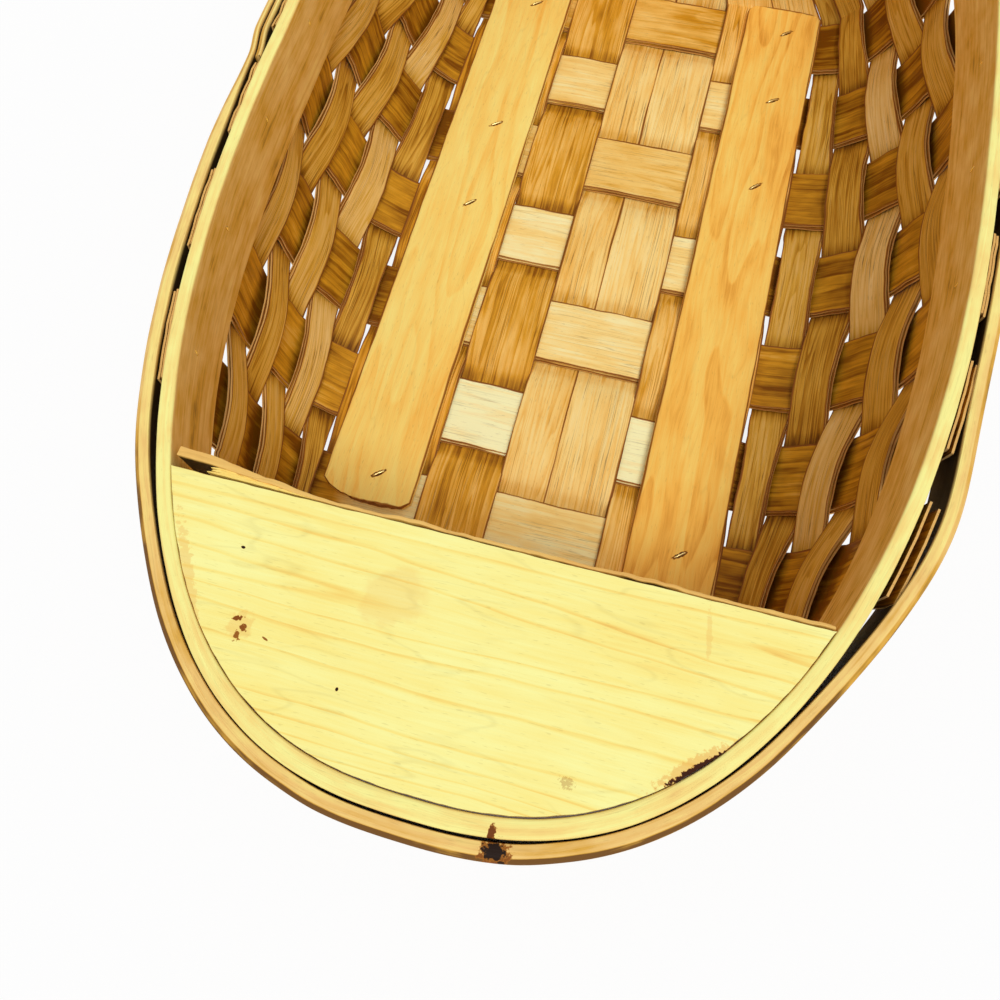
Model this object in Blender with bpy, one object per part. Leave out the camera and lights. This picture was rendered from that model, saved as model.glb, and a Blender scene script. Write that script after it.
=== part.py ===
"""Oval splint basket with two bent hoops and a D-shaped deck board at each end.

The basket stands on Z = 0 with its length along Y, its width along X and its rim on top.
Seven doubled splints are bent up as ribs from rim to rim and pinned between the hoops. The
other splints run from end to end, over and under the ribs, and rise at each end to the
straight edge of the deck board, where a clamp strip holds them.
"""

import math

import bmesh
import bpy
import numpy as np
from mathutils import Vector

# Clearances between pieces, in metres
SEAT_GAP = 0.0003
WEAVE_GAP = 0.0006
EDGE_GAP = 0.0006
DECK_GAP = 0.0006

# Rim outline, measured on the inner face of the inner hoop
RIM_HALF_LENGTH = 0.218
RIM_HALF_WIDTH = 0.1077
RIM_POWER = 2.48
NEAR_TIP_SHIFT_X = -0.0017
RIM_HEIGHT = 0.091

# Hoops
INNER_HOOP_THICKNESS = 0.0040
INNER_HOOP_TIP_THICKNESS = 0.0048
INNER_HOOP_HEIGHT = 0.029
INNER_HOOP_JOINT_SETBACK = 0.050
OUTER_HOOP_THICKNESS = 0.0041
OUTER_HOOP_TIP_THICKNESS = 0.0045
OUTER_HOOP_HEIGHT = 0.016
OUTER_HOOP_BEVEL_WIDTH = 0.0011
OUTER_HOOP_BEVEL_DEPTH = 0.0009
HOOP_TIP_GAP = 0.0005
HOOP_CLOSING_LENGTH = 0.040
HOOP_TIP_LENGTH = 0.038
OUTER_HOOP_SPRING = 0.0031
OUTER_HOOP_SPRING_SETBACK = 0.0955
OUTER_HOOP_SPRING_LENGTH = 0.025
LAP_PLY_THICKNESS = 0.0022
LAP_START_SETBACK = 0.0005
LAP_LENGTH = 0.130
LAP_SINK_LENGTH = 0.013
LAP_EASE_LENGTH = 0.035

# Ribs
RIB_PLY_THICKNESS = 0.0006
RIB_WIDTH = 0.027
RIB_LEAN = 0.006
RIB_TOP_DROP = 0.0012
RIB_NAMES = ("near", "second", "third", "middle", "fifth", "sixth", "far")

# Lengthwise splints
WEAVER_THICKNESS = 0.0014
CROSSING_MARGIN = 0.001
FLOOR_STRIP_SHARES = (0.1358, 0.1391, 0.1722, 0.1172, 0.1563, 0.1397, 0.1397)
FLOOR_STRIPS_OVER_NEAR_RIB = (False, False, True, False, False, True, True)
FLOOR_STRIP_OVERHANG = 0.0025
LEFT_WALL_WIDTH = 0.0287
RIGHT_WALL_WIDTH = 0.0382
END_WALL_LENGTH = 0.031
WEAVERS_PER_SIDE = 5
CHORD_END_MARGIN = 0.0092
CHORD_OVERLAP = 0.0020
CHORD_FOOT_DROP = 0.0160
END_BEND_LENGTH = 0.009
END_RISE_SHARE = 0.6
WALL_DIP_SHARE = 0.13

# Deck boards and the strips that clamp the splints to them
DECK_LENGTH = 0.061
DECK_THICKNESS = 0.0035
CLAMP_THICKNESS = 0.0015
CLAMP_LEFT_THICKNESS = 0.0026
CLAMP_HEIGHT = 0.013
CLAMP_DROP = 0.0006
CLAMP_SPRING = 0.0028
CLAMP_SPRING_LENGTH = 0.045

# Floor slats, set in from the side of the floor and back from the deck's edge
SLAT_THICKNESS = 0.0030
LEFT_SLAT_WIDTH = 0.0345
LEFT_SLAT_CORNER_RADIUS = 0.013
LEFT_SLAT_INSET = 0.00225
LEFT_SLAT_SETBACK = 0.0255
RIGHT_SLAT_WIDTH = 0.032
RIGHT_SLAT_CORNER_RADIUS = 0.004
RIGHT_SLAT_INSET = 0.001
RIGHT_SLAT_SETBACK = 0.0175

# Wire staples in the slats and square pins through the hoops
STAPLE_CROWN = 0.0052
STAPLE_WIRE = 0.0007
STAPLE_TILT_DEGREES = 40.0
STAPLE_SHIFT_X = 0.0025
LEFT_STAPLE_SHARES = (-0.90, 0.04, 0.36, 0.90)
RIGHT_STAPLE_SHARES = (-0.87, 0.29, 0.62, 0.90)
PINNED_RIBS = {"left": RIB_NAMES, "right": RIB_NAMES[2:]}
PIN_SIDE = 0.0012
PIN_DROP = 0.010
PIN_HEAD_SIDE = 0.0026
PIN_HEAD_HEIGHT = 0.0005
CUT_OVERRUN = 0.002

# Counts of facets
OUTLINE_SAMPLES = 2880
HOOP_SEGMENTS = 104
SINK_SEGMENTS = 4
CLAMP_SEGMENTS = 6
DECK_ARC_SEGMENTS = 36
RIB_WALL_SEGMENTS = 8
RIB_FLOOR_SEGMENTS = 2
END_SEGMENTS = 5
SLAT_CORNER_SEGMENTS = 5
SHARP_DEGREES = 35.0

# Sizes that follow from the ones above
FLOOR_LEFT_X = LEFT_WALL_WIDTH - RIM_HALF_WIDTH
FLOOR_RIGHT_X = RIM_HALF_WIDTH - RIGHT_WALL_WIDTH
FLOOR_STRIP_LEFT_X = FLOOR_LEFT_X - FLOOR_STRIP_OVERHANG
DECK_EDGE_Y = RIM_HALF_LENGTH - DECK_LENGTH
RIB_HALF_SPAN = DECK_EDGE_Y - END_WALL_LENGTH
RIB_PITCH = 2 * RIB_HALF_SPAN / (len(RIB_NAMES) - 1)
LAP_START_Y = -RIB_PITCH / 2 - LAP_START_SETBACK
LEFT_SLAT_X = FLOOR_LEFT_X + LEFT_SLAT_INSET + LEFT_SLAT_WIDTH / 2
RIGHT_SLAT_X = FLOOR_RIGHT_X - RIGHT_SLAT_INSET - RIGHT_SLAT_WIDTH / 2
LEFT_SLAT_HALF_LENGTH = DECK_EDGE_Y - LEFT_SLAT_SETBACK
RIGHT_SLAT_HALF_LENGTH = DECK_EDGE_Y - RIGHT_SLAT_SETBACK
RIB_HALF_STACK = RIB_PLY_THICKNESS + SEAT_GAP / 2
WEAVE_OFFSET = RIB_HALF_STACK + WEAVE_GAP + WEAVER_THICKNESS / 2
CHORD_OFFSET = (WEAVER_THICKNESS + SEAT_GAP) / 2
RIB_FLOOR_Z = WEAVE_OFFSET + WEAVER_THICKNESS / 2
RIM_Z = RIB_FLOOR_Z + RIM_HEIGHT
HOOP_SIDE_GAP = 2 * RIB_HALF_STACK + 2 * SEAT_GAP
RIB_OFFSET = INNER_HOOP_THICKNESS + HOOP_SIDE_GAP / 2
WALL_TOP_Z = RIM_Z - INNER_HOOP_HEIGHT
WALL_RISE = WALL_TOP_Z - RIB_FLOOR_Z
BODY_END_Y = RIB_HALF_SPAN + RIB_WIDTH / 2 + CROSSING_MARGIN
CHORD_Y = DECK_EDGE_Y + WEAVER_THICKNESS / 2 + CHORD_OFFSET
CHORD_TOP_Z = RIM_Z - DECK_THICKNESS - SEAT_GAP
CHORD_FOOT_Z = RIM_Z - CHORD_FOOT_DROP
CLAMP_OUTER_Y = DECK_EDGE_Y - SEAT_GAP
SLAT_FLOOR_Z = RIB_FLOOR_Z + WEAVE_OFFSET + WEAVER_THICKNESS / 2 + SEAT_GAP
LAP_SINK = HOOP_SIDE_GAP - SEAT_GAP
LAP_EXTRA = 2 * LAP_PLY_THICKNESS + SEAT_GAP - OUTER_HOOP_THICKNESS

COLOURS = {
    "hoop_wood": (0.93, 0.74, 0.42),
    "deck_wood": (0.94, 0.76, 0.46),
    "slat_wood": (0.90, 0.60, 0.25),
    "rib_wood": (0.80, 0.57, 0.28),
    "strip_wood": (0.78, 0.52, 0.22),
    "weaver_wood": (0.60, 0.37, 0.15),
    "steel": (0.55, 0.50, 0.42),
}


def material(name):
    """Return the plain material of one group of pieces."""
    found = bpy.data.materials.get(name)
    if found:
        return found
    made = bpy.data.materials.new(name)
    made.use_nodes = True
    shader = made.node_tree.nodes["Principled BSDF"]
    shader.inputs["Base Color"].default_value = (*COLOURS[name], 1.0)
    shader.inputs["Roughness"].default_value = 0.35 if name == "steel" else 0.6
    shader.inputs["Metallic"].default_value = 1.0 if name == "steel" else 0.0
    return made


def smooth_step(share):
    """Ease from 0 to 1 as share goes from 0 to 1."""
    held = min(max(share, 0.0), 1.0)
    return held * held * (3 - 2 * held)


def add_object(name, builder, finish, parent, smooth=False):
    """Make one named object from a filled bmesh."""
    mesh = bpy.data.meshes.new(name)
    bmesh.ops.recalc_face_normals(builder, faces=builder.faces)
    builder.to_mesh(mesh)
    builder.free()
    if smooth:
        mesh.shade_smooth()
        mesh.set_sharp_from_angle(angle=math.radians(SHARP_DEGREES))
    if finish:
        mesh.materials.append(material(finish))
    made = bpy.data.objects.new(name, mesh)
    made.parent = parent
    bpy.context.scene.collection.objects.link(made)
    return made


def loft(builder, rings):
    """Skin a list of rings of equal count and close both ends."""
    loops = [[builder.verts.new(point) for point in ring] for ring in rings]
    count = len(loops[0])
    for first, second in zip(loops[:-1], loops[1:]):
        for index in range(count):
            after = (index + 1) % count
            builder.faces.new((first[index], first[after], second[after], second[index]))
    builder.faces.new(loops[0])
    builder.faces.new(loops[-1][::-1])


def prism(builder, outline, low, high):
    """Add a solid between two heights over a flat outline."""
    loft(builder, [[Vector((x, y, z)) for x, y in outline] for z in (low, high)])


def bar(builder, start, end, side, up):
    """Add a square bar between two points, with one pair of its faces facing up."""
    along = (end - start).normalized()
    across = along.cross(up).normalized() * side / 2
    rise = across.cross(along).normalized() * side / 2
    corners = (across + rise, rise - across, -across - rise, across - rise)
    loft(builder, [[middle + corner for corner in corners] for middle in (start, end)])


def cut(body, cutter):
    """Subtract a hidden cutter from a body."""
    change = body.modifiers.new(cutter.name, "BOOLEAN")
    change.operation = "DIFFERENCE"
    change.solver = "EXACT"
    change.object = cutter


def add_cutter(name, builder, parent):
    """Make a hidden cutter object."""
    cutter = add_object(name, builder, None, parent)
    cutter.hide_render = True
    cutter.display_type = "WIRE"
    return cutter


# Rim outline

def outline_tables():
    """Return dense points, outward normals, arc lengths and the right half of the outline."""
    angles = np.linspace(0, 2 * math.pi, OUTLINE_SAMPLES, endpoint=False)
    unit = np.column_stack((np.cos(angles), np.sin(angles)))
    reach = np.array((RIM_HALF_WIDTH, RIM_HALF_LENGTH))
    shape = np.sign(unit) * np.abs(unit) ** (2 / RIM_POWER)
    points = shape * reach
    slopes = np.sign(shape) * np.abs(shape) ** (RIM_POWER - 1) / reach
    nearness = np.minimum(shape[:, 1], 0.0)
    points[:, 0] += NEAR_TIP_SHIFT_X * nearness ** 2
    slopes[:, 1] -= 2 * NEAR_TIP_SHIFT_X * nearness / RIM_HALF_LENGTH * slopes[:, 0]
    normals = slopes / np.linalg.norm(slopes, axis=1, keepdims=True)
    steps = np.linalg.norm(np.roll(points, -1, axis=0) - points, axis=1)
    lengths = np.concatenate(((0.0,), np.cumsum(steps)[:-1]))
    return points, normals, lengths, float(steps.sum()), unit[:, 0] > 0


OUTLINE_POINTS, OUTLINE_NORMALS, OUTLINE_LENGTHS, PERIMETER, ON_RIGHT = outline_tables()


def rim_frame(length):
    """Return the base point and outward normal at a length round the rim from the right."""
    values = [np.interp(length, OUTLINE_LENGTHS, table[:, axis], period=PERIMETER)
              for table in (OUTLINE_POINTS, OUTLINE_NORMALS) for axis in (0, 1)]
    return Vector((values[0], values[1], 0)), Vector((values[2], values[3], 0)).normalized()


def side_x(y, offset, side):
    """Return X of a long side at Y, on the base outline moved outwards by offset."""
    chosen = ON_RIGHT if side > 0 else ~ON_RIGHT
    moved = (OUTLINE_POINTS + OUTLINE_NORMALS * offset)[chosen]
    order = np.argsort(moved[:, 1])
    return float(np.interp(y, moved[order, 1], moved[order, 0]))


def side_length(y, side):
    """Return the length round the rim at which a long side passes Y."""
    chosen = ON_RIGHT if side > 0 else ~ON_RIGHT
    lengths = OUTLINE_LENGTHS[chosen]
    if side > 0:
        lengths = np.where(lengths > PERIMETER / 2, lengths - PERIMETER, lengths)
    order = np.argsort(OUTLINE_POINTS[chosen, 1])
    return float(np.interp(y, OUTLINE_POINTS[chosen, 1][order], lengths[order]))


CHORD_HALF_SPREAD = side_x(DECK_EDGE_Y, 0.0, 1) - CHORD_END_MARGIN


# Hoops

def hoop_gap(point):
    """Return the gap between the two hoops beside a point of the base outline."""
    share = (abs(point.y) - BODY_END_Y) / HOOP_CLOSING_LENGTH
    gap = HOOP_SIDE_GAP + (HOOP_TIP_GAP - HOOP_SIDE_GAP) * smooth_step(share)
    if point.x > 0:
        from_near_tip = point.y + RIM_HALF_LENGTH
        reach = (from_near_tip - OUTER_HOOP_SPRING_SETBACK) / OUTER_HOOP_SPRING_LENGTH
        gap += OUTER_HOOP_SPRING * math.exp(-reach * reach)
    return gap


def tip_blend(point, side_value, tip_value):
    """Blend from a value on the long sides to a value at the tips."""
    share = smooth_step(1 - (RIM_HALF_LENGTH - abs(point.y)) / HOOP_TIP_LENGTH)
    return side_value + (tip_value - side_value) * share


def inner_hoop_thickness(point):
    """Return the thickness of the inner hoop beside a point of the base outline."""
    return tip_blend(point, INNER_HOOP_THICKNESS, INNER_HOOP_TIP_THICKNESS)


def hoop_section(length, near, profile):
    """Place a hoop's section, given as (offset, drop) pairs, at a length round the rim."""
    point, normal = rim_frame(length)
    return [point + normal * (near + offset) + Vector((0, 0, RIM_Z - drop))
            for offset, drop in profile]


def inner_hoop(parent):
    """Make the tall inner hoop, whose two ends meet on the far right."""
    start = side_length(RIM_HALF_LENGTH - INNER_HOOP_JOINT_SETBACK, 1) + SEAT_GAP / 2
    run = PERIMETER - SEAT_GAP
    rings = []
    for index in range(HOOP_SEGMENTS + 1):
        length = start + run * index / HOOP_SEGMENTS
        thickness = inner_hoop_thickness(rim_frame(length)[0])
        profile = [(0.0, INNER_HOOP_HEIGHT), (thickness, INNER_HOOP_HEIGHT), (thickness, 0.0),
                   (0.0, 0.0)]
        rings.append(hoop_section(length, 0.0, profile))
    builder = bmesh.new()
    loft(builder, rings)
    return add_object("inner_hoop", builder, "hoop_wood", parent, smooth=True)


def lap_sink(travelled):
    """Return how far the outer hoop's first end has sunk between two ribs."""
    return LAP_SINK * (1 - smooth_step(travelled / LAP_SINK_LENGTH))


def outer_hoop_layer(travelled):
    """Return the near offset and the thickness of the outer hoop at a length along it."""
    point = rim_frame(outer_hoop_start() - travelled)[0]
    past = travelled - PERIMETER
    closing = smooth_step(1 + past / LAP_EASE_LENGTH)
    extra = (LAP_PLY_THICKNESS + SEAT_GAP - lap_sink(max(past, 0.0))) * closing
    near = inner_hoop_thickness(point) + hoop_gap(point) + extra - lap_sink(travelled)
    body = min(smooth_step((travelled - LAP_LENGTH) / LAP_EASE_LENGTH),
               smooth_step(-past / LAP_EASE_LENGTH))
    full = tip_blend(point, OUTER_HOOP_THICKNESS, OUTER_HOOP_TIP_THICKNESS)
    return near, LAP_PLY_THICKNESS + (full - LAP_PLY_THICKNESS) * body


def outer_hoop_start():
    """Return the length round the rim at which the outer hoop begins."""
    return side_length(LAP_START_Y, -1)


def outer_hoop_stations():
    """Return the lengths along the outer hoop at which its section is placed."""
    run = PERIMETER + LAP_LENGTH
    even = [run * index / HOOP_SEGMENTS for index in range(HOOP_SEGMENTS + 1)]
    sunk = [LAP_SINK_LENGTH * index / SINK_SEGMENTS for index in range(1, SINK_SEGMENTS + 1)]
    return sorted(even + sunk + [PERIMETER + step for step in (0.0, *sunk)])


def outer_hoop(parent):
    """Make the low outer hoop, whose thinned ends lap each other on the left."""
    foot = OUTER_HOOP_HEIGHT
    rings = []
    for travelled in outer_hoop_stations():
        near, thickness = outer_hoop_layer(travelled)
        flat = thickness - OUTER_HOOP_BEVEL_WIDTH
        profile = [(0.0, foot), (flat, foot), (thickness, foot - OUTER_HOOP_BEVEL_DEPTH),
                   (thickness, OUTER_HOOP_BEVEL_DEPTH), (flat, 0.0), (0.0, 0.0)]
        rings.append(hoop_section(outer_hoop_start() - travelled, near, profile))
    builder = bmesh.new()
    loft(builder, rings)
    return add_object("outer_hoop", builder, "hoop_wood", parent, smooth=True)


def outer_face(length):
    """Return the offset of the outer hoop's outer face at a length round the rim."""
    travelled = (outer_hoop_start() - length) % PERIMETER
    if travelled < LAP_LENGTH:
        travelled += PERIMETER
    near, thickness = outer_hoop_layer(travelled)
    return near + thickness


# Woven body

def wall_arc_table(side):
    """Return wall angles and the arc lengths to them in the middle of the basket."""
    foot = FLOOR_RIGHT_X if side > 0 else -FLOOR_LEFT_X
    reach = abs(side_x(0.0, RIB_OFFSET, side)) - foot
    angles = np.linspace(0, math.pi / 2, OUTLINE_SAMPLES)
    speed = np.hypot(reach * np.cos(angles), WALL_RISE * np.sin(angles))
    arcs = np.concatenate(((0.0,), np.cumsum((speed[1:] + speed[:-1]) / 2) * angles[1]))
    return angles, arcs


WALL_ARCS = {side: wall_arc_table(side) for side in (-1, 1)}


def wall_length(side):
    """Return the arc length of a side wall from the floor to the hoop."""
    return float(WALL_ARCS[side][1][-1])


def wall_point(y, angle, side):
    """Return a point of a side wall at Y and at an angle up its curve."""
    foot = FLOOR_RIGHT_X if side > 0 else FLOOR_LEFT_X
    height = WALL_RISE * (1 - math.cos(angle))
    leaned = y - side * RIB_LEAN * height / RIM_HEIGHT
    reach = side_x(leaned, RIB_OFFSET, side) - foot
    return Vector((foot + reach * math.sin(angle), leaned, RIB_FLOOR_Z + height))


def body_point(y, place):
    """Return a point of the woven body from Y and its place across, measured along the wall."""
    if FLOOR_LEFT_X <= place <= FLOOR_RIGHT_X:
        return Vector((place, y, RIB_FLOOR_Z))
    side = 1 if place > 0 else -1
    climbed = place - FLOOR_RIGHT_X if side > 0 else FLOOR_LEFT_X - place
    angles, arcs = WALL_ARCS[side]
    angle = float(np.interp(climbed, arcs, angles))
    dip = 1 - WALL_DIP_SHARE * smooth_step(abs(y) / BODY_END_Y)
    return wall_point(y, angle * dip, side)


def chord_x(place):
    """Return where a place across the body lands along the deck's straight edge."""
    left = FLOOR_LEFT_X - wall_length(-1)
    right = FLOOR_RIGHT_X + wall_length(1)
    return CHORD_HALF_SPREAD * (2 * (place - left) / (right - left) - 1)


def end_point(share, place, end, spread):
    """Return a point of the rising end at a share of its way to the clamp, or above one."""
    start = body_point(end * BODY_END_Y, place)
    before = body_point(end * (BODY_END_Y - END_BEND_LENGTH), place)
    bend = start + (start - before).normalized() * END_BEND_LENGTH
    finish = Vector((chord_x(place) + spread, end * CHORD_Y, CHORD_FOOT_Z))
    if share > 1:
        return Vector((finish.x, finish.y, CHORD_TOP_Z))
    rise = Vector((0, 0, (finish.z - start.z) * END_RISE_SHARE))
    left = 1 - share
    return (start * left ** 3 + bend * 3 * left * left * share
            + (finish - rise) * 3 * left * share * share + finish * share ** 3)


def rib_ys():
    """Return the Y of each rib on the floor, near end first."""
    return [index * RIB_PITCH - RIB_HALF_SPAN for index in range(len(RIB_NAMES))]


def splint_stations(above_near):
    """Return the stations of a lengthwise splint as (kind, value, weave offset)."""
    half = RIB_WIDTH / 2 + CROSSING_MARGIN
    signs = [1 if (index % 2 == 0) == above_near else -1 for index in range(len(RIB_NAMES))]
    stations = []
    for index in range(END_SEGMENTS + 1, 0, -1):
        share = index / END_SEGMENTS
        offset = WEAVE_OFFSET + (CHORD_OFFSET - WEAVE_OFFSET) * smooth_step(share)
        stations.append(("end", -share, signs[0] * offset))
    for y, sign in zip(rib_ys(), signs):
        stations.append(("body", y - half, sign * WEAVE_OFFSET))
        stations.append(("body", y + half, sign * WEAVE_OFFSET))
    for index in range(1, END_SEGMENTS + 2):
        share = index / END_SEGMENTS
        offset = WEAVE_OFFSET + (CHORD_OFFSET - WEAVE_OFFSET) * smooth_step(share)
        stations.append(("end", share, signs[-1] * offset))
    return stations


def grid_normals(grid):
    """Return the inward unit normals of a grid of points, rows along and columns across."""
    values = np.array([[tuple(point) for point in row] for row in grid])
    along = np.gradient(values, axis=0)
    across = np.gradient(values, axis=1)
    normals = np.cross(across, along)
    return normals / np.linalg.norm(normals, axis=2, keepdims=True)


def ply(name, grid, offsets, low, high, finish, parent):
    """Make one ply between two offsets from a grid that is itself offset row by row."""
    rings = []
    for row, directions, offset in zip(grid, grid_normals(grid), offsets):
        pairs = [(point, Vector(direction)) for point, direction in zip(row, directions)]
        under = [point + direction * (offset + low) for point, direction in pairs]
        over = [point + direction * (offset + high) for point, direction in pairs]
        rings.append(under + over[::-1])
    builder = bmesh.new()
    loft(builder, rings)
    return add_object(name, builder, finish, parent, smooth=True)


def lengthwise_splint(name, low, high, columns, above_near, overlaps, finish, parent):
    """Make a splint that runs from deck to deck between two places across."""
    places = [low + (high - low) * index / columns for index in range(columns + 1)]
    stations = splint_stations(above_near)
    grid = []
    for kind, value, _ in stations:
        if kind == "body":
            row = [body_point(value, place) for place in places]
        else:
            end = 1 if value > 0 else -1
            spreads = np.linspace(-overlaps[0], overlaps[1], columns + 1)
            row = [end_point(abs(value), place, end, float(spread))
                   for place, spread in zip(places, spreads)]
        grid.append(trimmed(row, EDGE_GAP / 2))
    offsets = [offset for _, _, offset in stations]
    half = WEAVER_THICKNESS / 2
    return ply(name, grid, offsets, -half, half, finish, parent)


def trimmed(row, margin):
    """Return a row of points with its two ends drawn in by a margin."""
    first = row[0] + (row[1] - row[0]).normalized() * margin
    last = row[-1] + (row[-2] - row[-1]).normalized() * margin
    return [first, *row[1:-1], last]


def splint_layout():
    """Return name, edges across, columns, weave and finish of each lengthwise splint."""
    layout = []
    numbers = range(1, WEAVERS_PER_SIDE + 1)
    edge = FLOOR_LEFT_X - wall_length(-1)
    width = (FLOOR_STRIP_LEFT_X - edge) / WEAVERS_PER_SIDE
    for number in reversed(numbers):
        layout.append((f"left_weaver_{number}", edge, edge + width, 2, number % 2 == 1))
        edge += width
    floor = FLOOR_RIGHT_X - FLOOR_STRIP_LEFT_X
    strips = zip(FLOOR_STRIP_SHARES, FLOOR_STRIPS_OVER_NEAR_RIB)
    for number, (share, over) in enumerate(strips, start=1):
        width = floor * share
        layout.append((f"floor_strip_{number}", edge, edge + width, 1, over))
        edge += width
    width = (FLOOR_RIGHT_X + wall_length(1) - edge) / WEAVERS_PER_SIDE
    for number in numbers:
        layout.append((f"right_weaver_{number}", edge, edge + width, 2, number % 2 == 0))
        edge += width
    return layout


def lengthwise_splints(parent):
    """Make the floor strips and the side weavers."""
    layout = splint_layout()
    for index, (name, low, high, columns, above) in enumerate(layout):
        overlaps = []
        for other in (index - 1, index + 1):
            inside = 0 <= other < len(layout)
            same = inside and layout[other][4] == above
            overlaps.append(0.0 if same or not inside else CHORD_OVERLAP)
        finish = "strip_wood" if name.startswith("floor") else "weaver_wood"
        lengthwise_splint(name, low, high, columns, above, overlaps, finish, parent)


def rib_row(y, path):
    """Return one point of a rib from its Y and its place along the path."""
    kind, side, value = path
    if kind == "floor":
        return Vector((value, y, RIB_FLOOR_Z))
    if kind == "wall":
        return wall_point(y, value, side)
    top = wall_point(y, math.pi / 2, side)
    leaned = top.y - side * RIB_LEAN * (value - WALL_TOP_Z) / RIM_HEIGHT
    return Vector((side_x(leaned, RIB_OFFSET, side), leaned, value))


def rib_path():
    """Return the stations of a rib from its left end to its right end."""
    top = RIM_Z - RIB_TOP_DROP
    angles = [math.pi / 2 * index / RIB_WALL_SEGMENTS for index in range(RIB_WALL_SEGMENTS + 1)]
    left = [("rim", -1, top), *(("wall", -1, angle) for angle in reversed(angles))]
    right = [*(("wall", 1, angle) for angle in angles), ("rim", 1, top)]
    step = (FLOOR_RIGHT_X - FLOOR_LEFT_X) / RIB_FLOOR_SEGMENTS
    floor = [("floor", 0, FLOOR_LEFT_X + step * index) for index in range(1, RIB_FLOOR_SEGMENTS)]
    return left + floor + right


def ribs(parent):
    """Make the ribs, each an outer and an inner ply, and return them."""
    pieces = []
    path = rib_path()
    flat = [0.0] * len(path)
    half = RIB_WIDTH / 2
    near = SEAT_GAP / 2
    far = near + RIB_PLY_THICKNESS
    for name, y in zip(RIB_NAMES, rib_ys()):
        grid = [[rib_row(y + across, place) for place in path] for across in (half, 0.0, -half)]
        for layer, low, high in (("outer", -far, -near), ("inner", near, far)):
            pieces.append(ply(f"{name}_rib_{layer}_ply", list(zip(*grid)), flat, low, high,
                              "rib_wood", parent))
    return pieces


# Deck boards and clamp strips

def deck_board(name, end, parent):
    """Make a D-shaped board inside one end of the inner hoop."""
    right = side_length(end * DECK_EDGE_Y, 1)
    left = side_length(end * DECK_EDGE_Y, -1)
    if end < 0:
        left -= PERIMETER
    outline = []
    for index in range(DECK_ARC_SEGMENTS + 1):
        length = right + (left - right) * index / DECK_ARC_SEGMENTS
        point, normal = rim_frame(length)
        moved = point - normal * DECK_GAP
        outline.append((moved.x, end * max(end * moved.y, DECK_EDGE_Y)))
    builder = bmesh.new()
    prism(builder, outline, RIM_Z - DECK_THICKNESS, RIM_Z)
    return add_object(name, builder, "deck_wood", parent)


def clamp_strip(name, end, parent):
    """Make the strip that runs along a deck board's straight edge and springs off its left."""
    left, right = (side_x(end * CLAMP_OUTER_Y, 0.0, side) - side * DECK_GAP for side in (-1, 1))
    top = RIM_Z - CLAMP_DROP
    foot = top - CLAMP_HEIGHT
    stations = [CLAMP_SPRING_LENGTH * index / CLAMP_SEGMENTS for index in range(CLAMP_SEGMENTS + 1)]
    rings = []
    for travelled in (*stations, right - left):
        sprung = 1 - smooth_step(travelled / CLAMP_SPRING_LENGTH)
        outer = CLAMP_OUTER_Y - CLAMP_SPRING * sprung
        inner = outer - CLAMP_THICKNESS - (CLAMP_LEFT_THICKNESS - CLAMP_THICKNESS) * sprung
        rings.append([Vector((left + travelled, end * y, z))
                      for y, z in ((inner, foot), (outer, foot), (outer, top), (inner, top))])
    builder = bmesh.new()
    loft(builder, rings)
    return add_object(name, builder, "slat_wood", parent)


# Floor slats and staples

def slat(name, centre, width, half_length, radius, parent):
    """Make a floor slat with rounded corners."""
    outline = []
    for corner, (across, along) in enumerate(((1, 1), (-1, 1), (-1, -1), (1, -1))):
        for index in range(SLAT_CORNER_SEGMENTS + 1):
            turn = math.pi / 2 * (corner + index / SLAT_CORNER_SEGMENTS)
            outline.append((
                centre + across * (width / 2 - radius) + radius * math.cos(turn),
                along * (half_length - radius) + radius * math.sin(turn),
            ))
    builder = bmesh.new()
    prism(builder, outline, SLAT_FLOOR_Z, SLAT_FLOOR_Z + SLAT_THICKNESS)
    return add_object(name, builder, "slat_wood", parent)


def staple_frames():
    """Return the name, the middle and the direction of each staple's crown."""
    turn = math.radians(STAPLE_TILT_DEGREES)
    along = Vector((math.cos(turn), math.sin(turn), 0))
    top = SLAT_FLOOR_Z + SLAT_THICKNESS + SEAT_GAP + STAPLE_WIRE / 2
    frames = []
    slats = (("left", LEFT_SLAT_X, LEFT_SLAT_HALF_LENGTH, LEFT_STAPLE_SHARES),
             ("right", RIGHT_SLAT_X, RIGHT_SLAT_HALF_LENGTH, RIGHT_STAPLE_SHARES))
    for side, centre, half_length, shares in slats:
        for number, share in enumerate(shares, start=1):
            middle = Vector((centre + STAPLE_SHIFT_X, half_length * share, top))
            frames.append((f"{side}_slat_staple_{number}", middle, along))
    return frames


def staples(parent):
    """Make the staples in the slats, crown and legs in one piece each."""
    half = STAPLE_CROWN / 2
    inside = half - STAPLE_WIRE
    high = STAPLE_WIRE / 2
    for name, middle, along in staple_frames():
        across = Vector((-along.y, along.x, 0)) * STAPLE_WIRE / 2
        low = SLAT_FLOOR_Z - middle.z
        profile = [(-half, low), (-inside, low), (-inside, -high), (inside, -high),
                   (inside, low), (half, low), (half, high), (-half, high)]
        builder = bmesh.new()
        loft(builder, [
            [middle + shift + along * reach + Vector((0, 0, rise)) for reach, rise in profile]
            for shift in (-across, across)
        ])
        add_object(name, builder, "steel", parent)


def staple_bores(parent):
    """Make the cutter for the staples' legs."""
    builder = bmesh.new()
    for _, middle, along in staple_frames():
        for end in (-1, 1):
            foot = middle + along * end * (STAPLE_CROWN - STAPLE_WIRE) / 2
            start = foot + Vector((0, 0, CUT_OVERRUN))
            finish = foot - Vector((0, 0, SLAT_THICKNESS + CUT_OVERRUN))
            bar(builder, start, finish, STAPLE_WIRE + 2 * SEAT_GAP, along)
    return add_cutter("staple_bores", builder, parent)


# Rim pins

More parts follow.
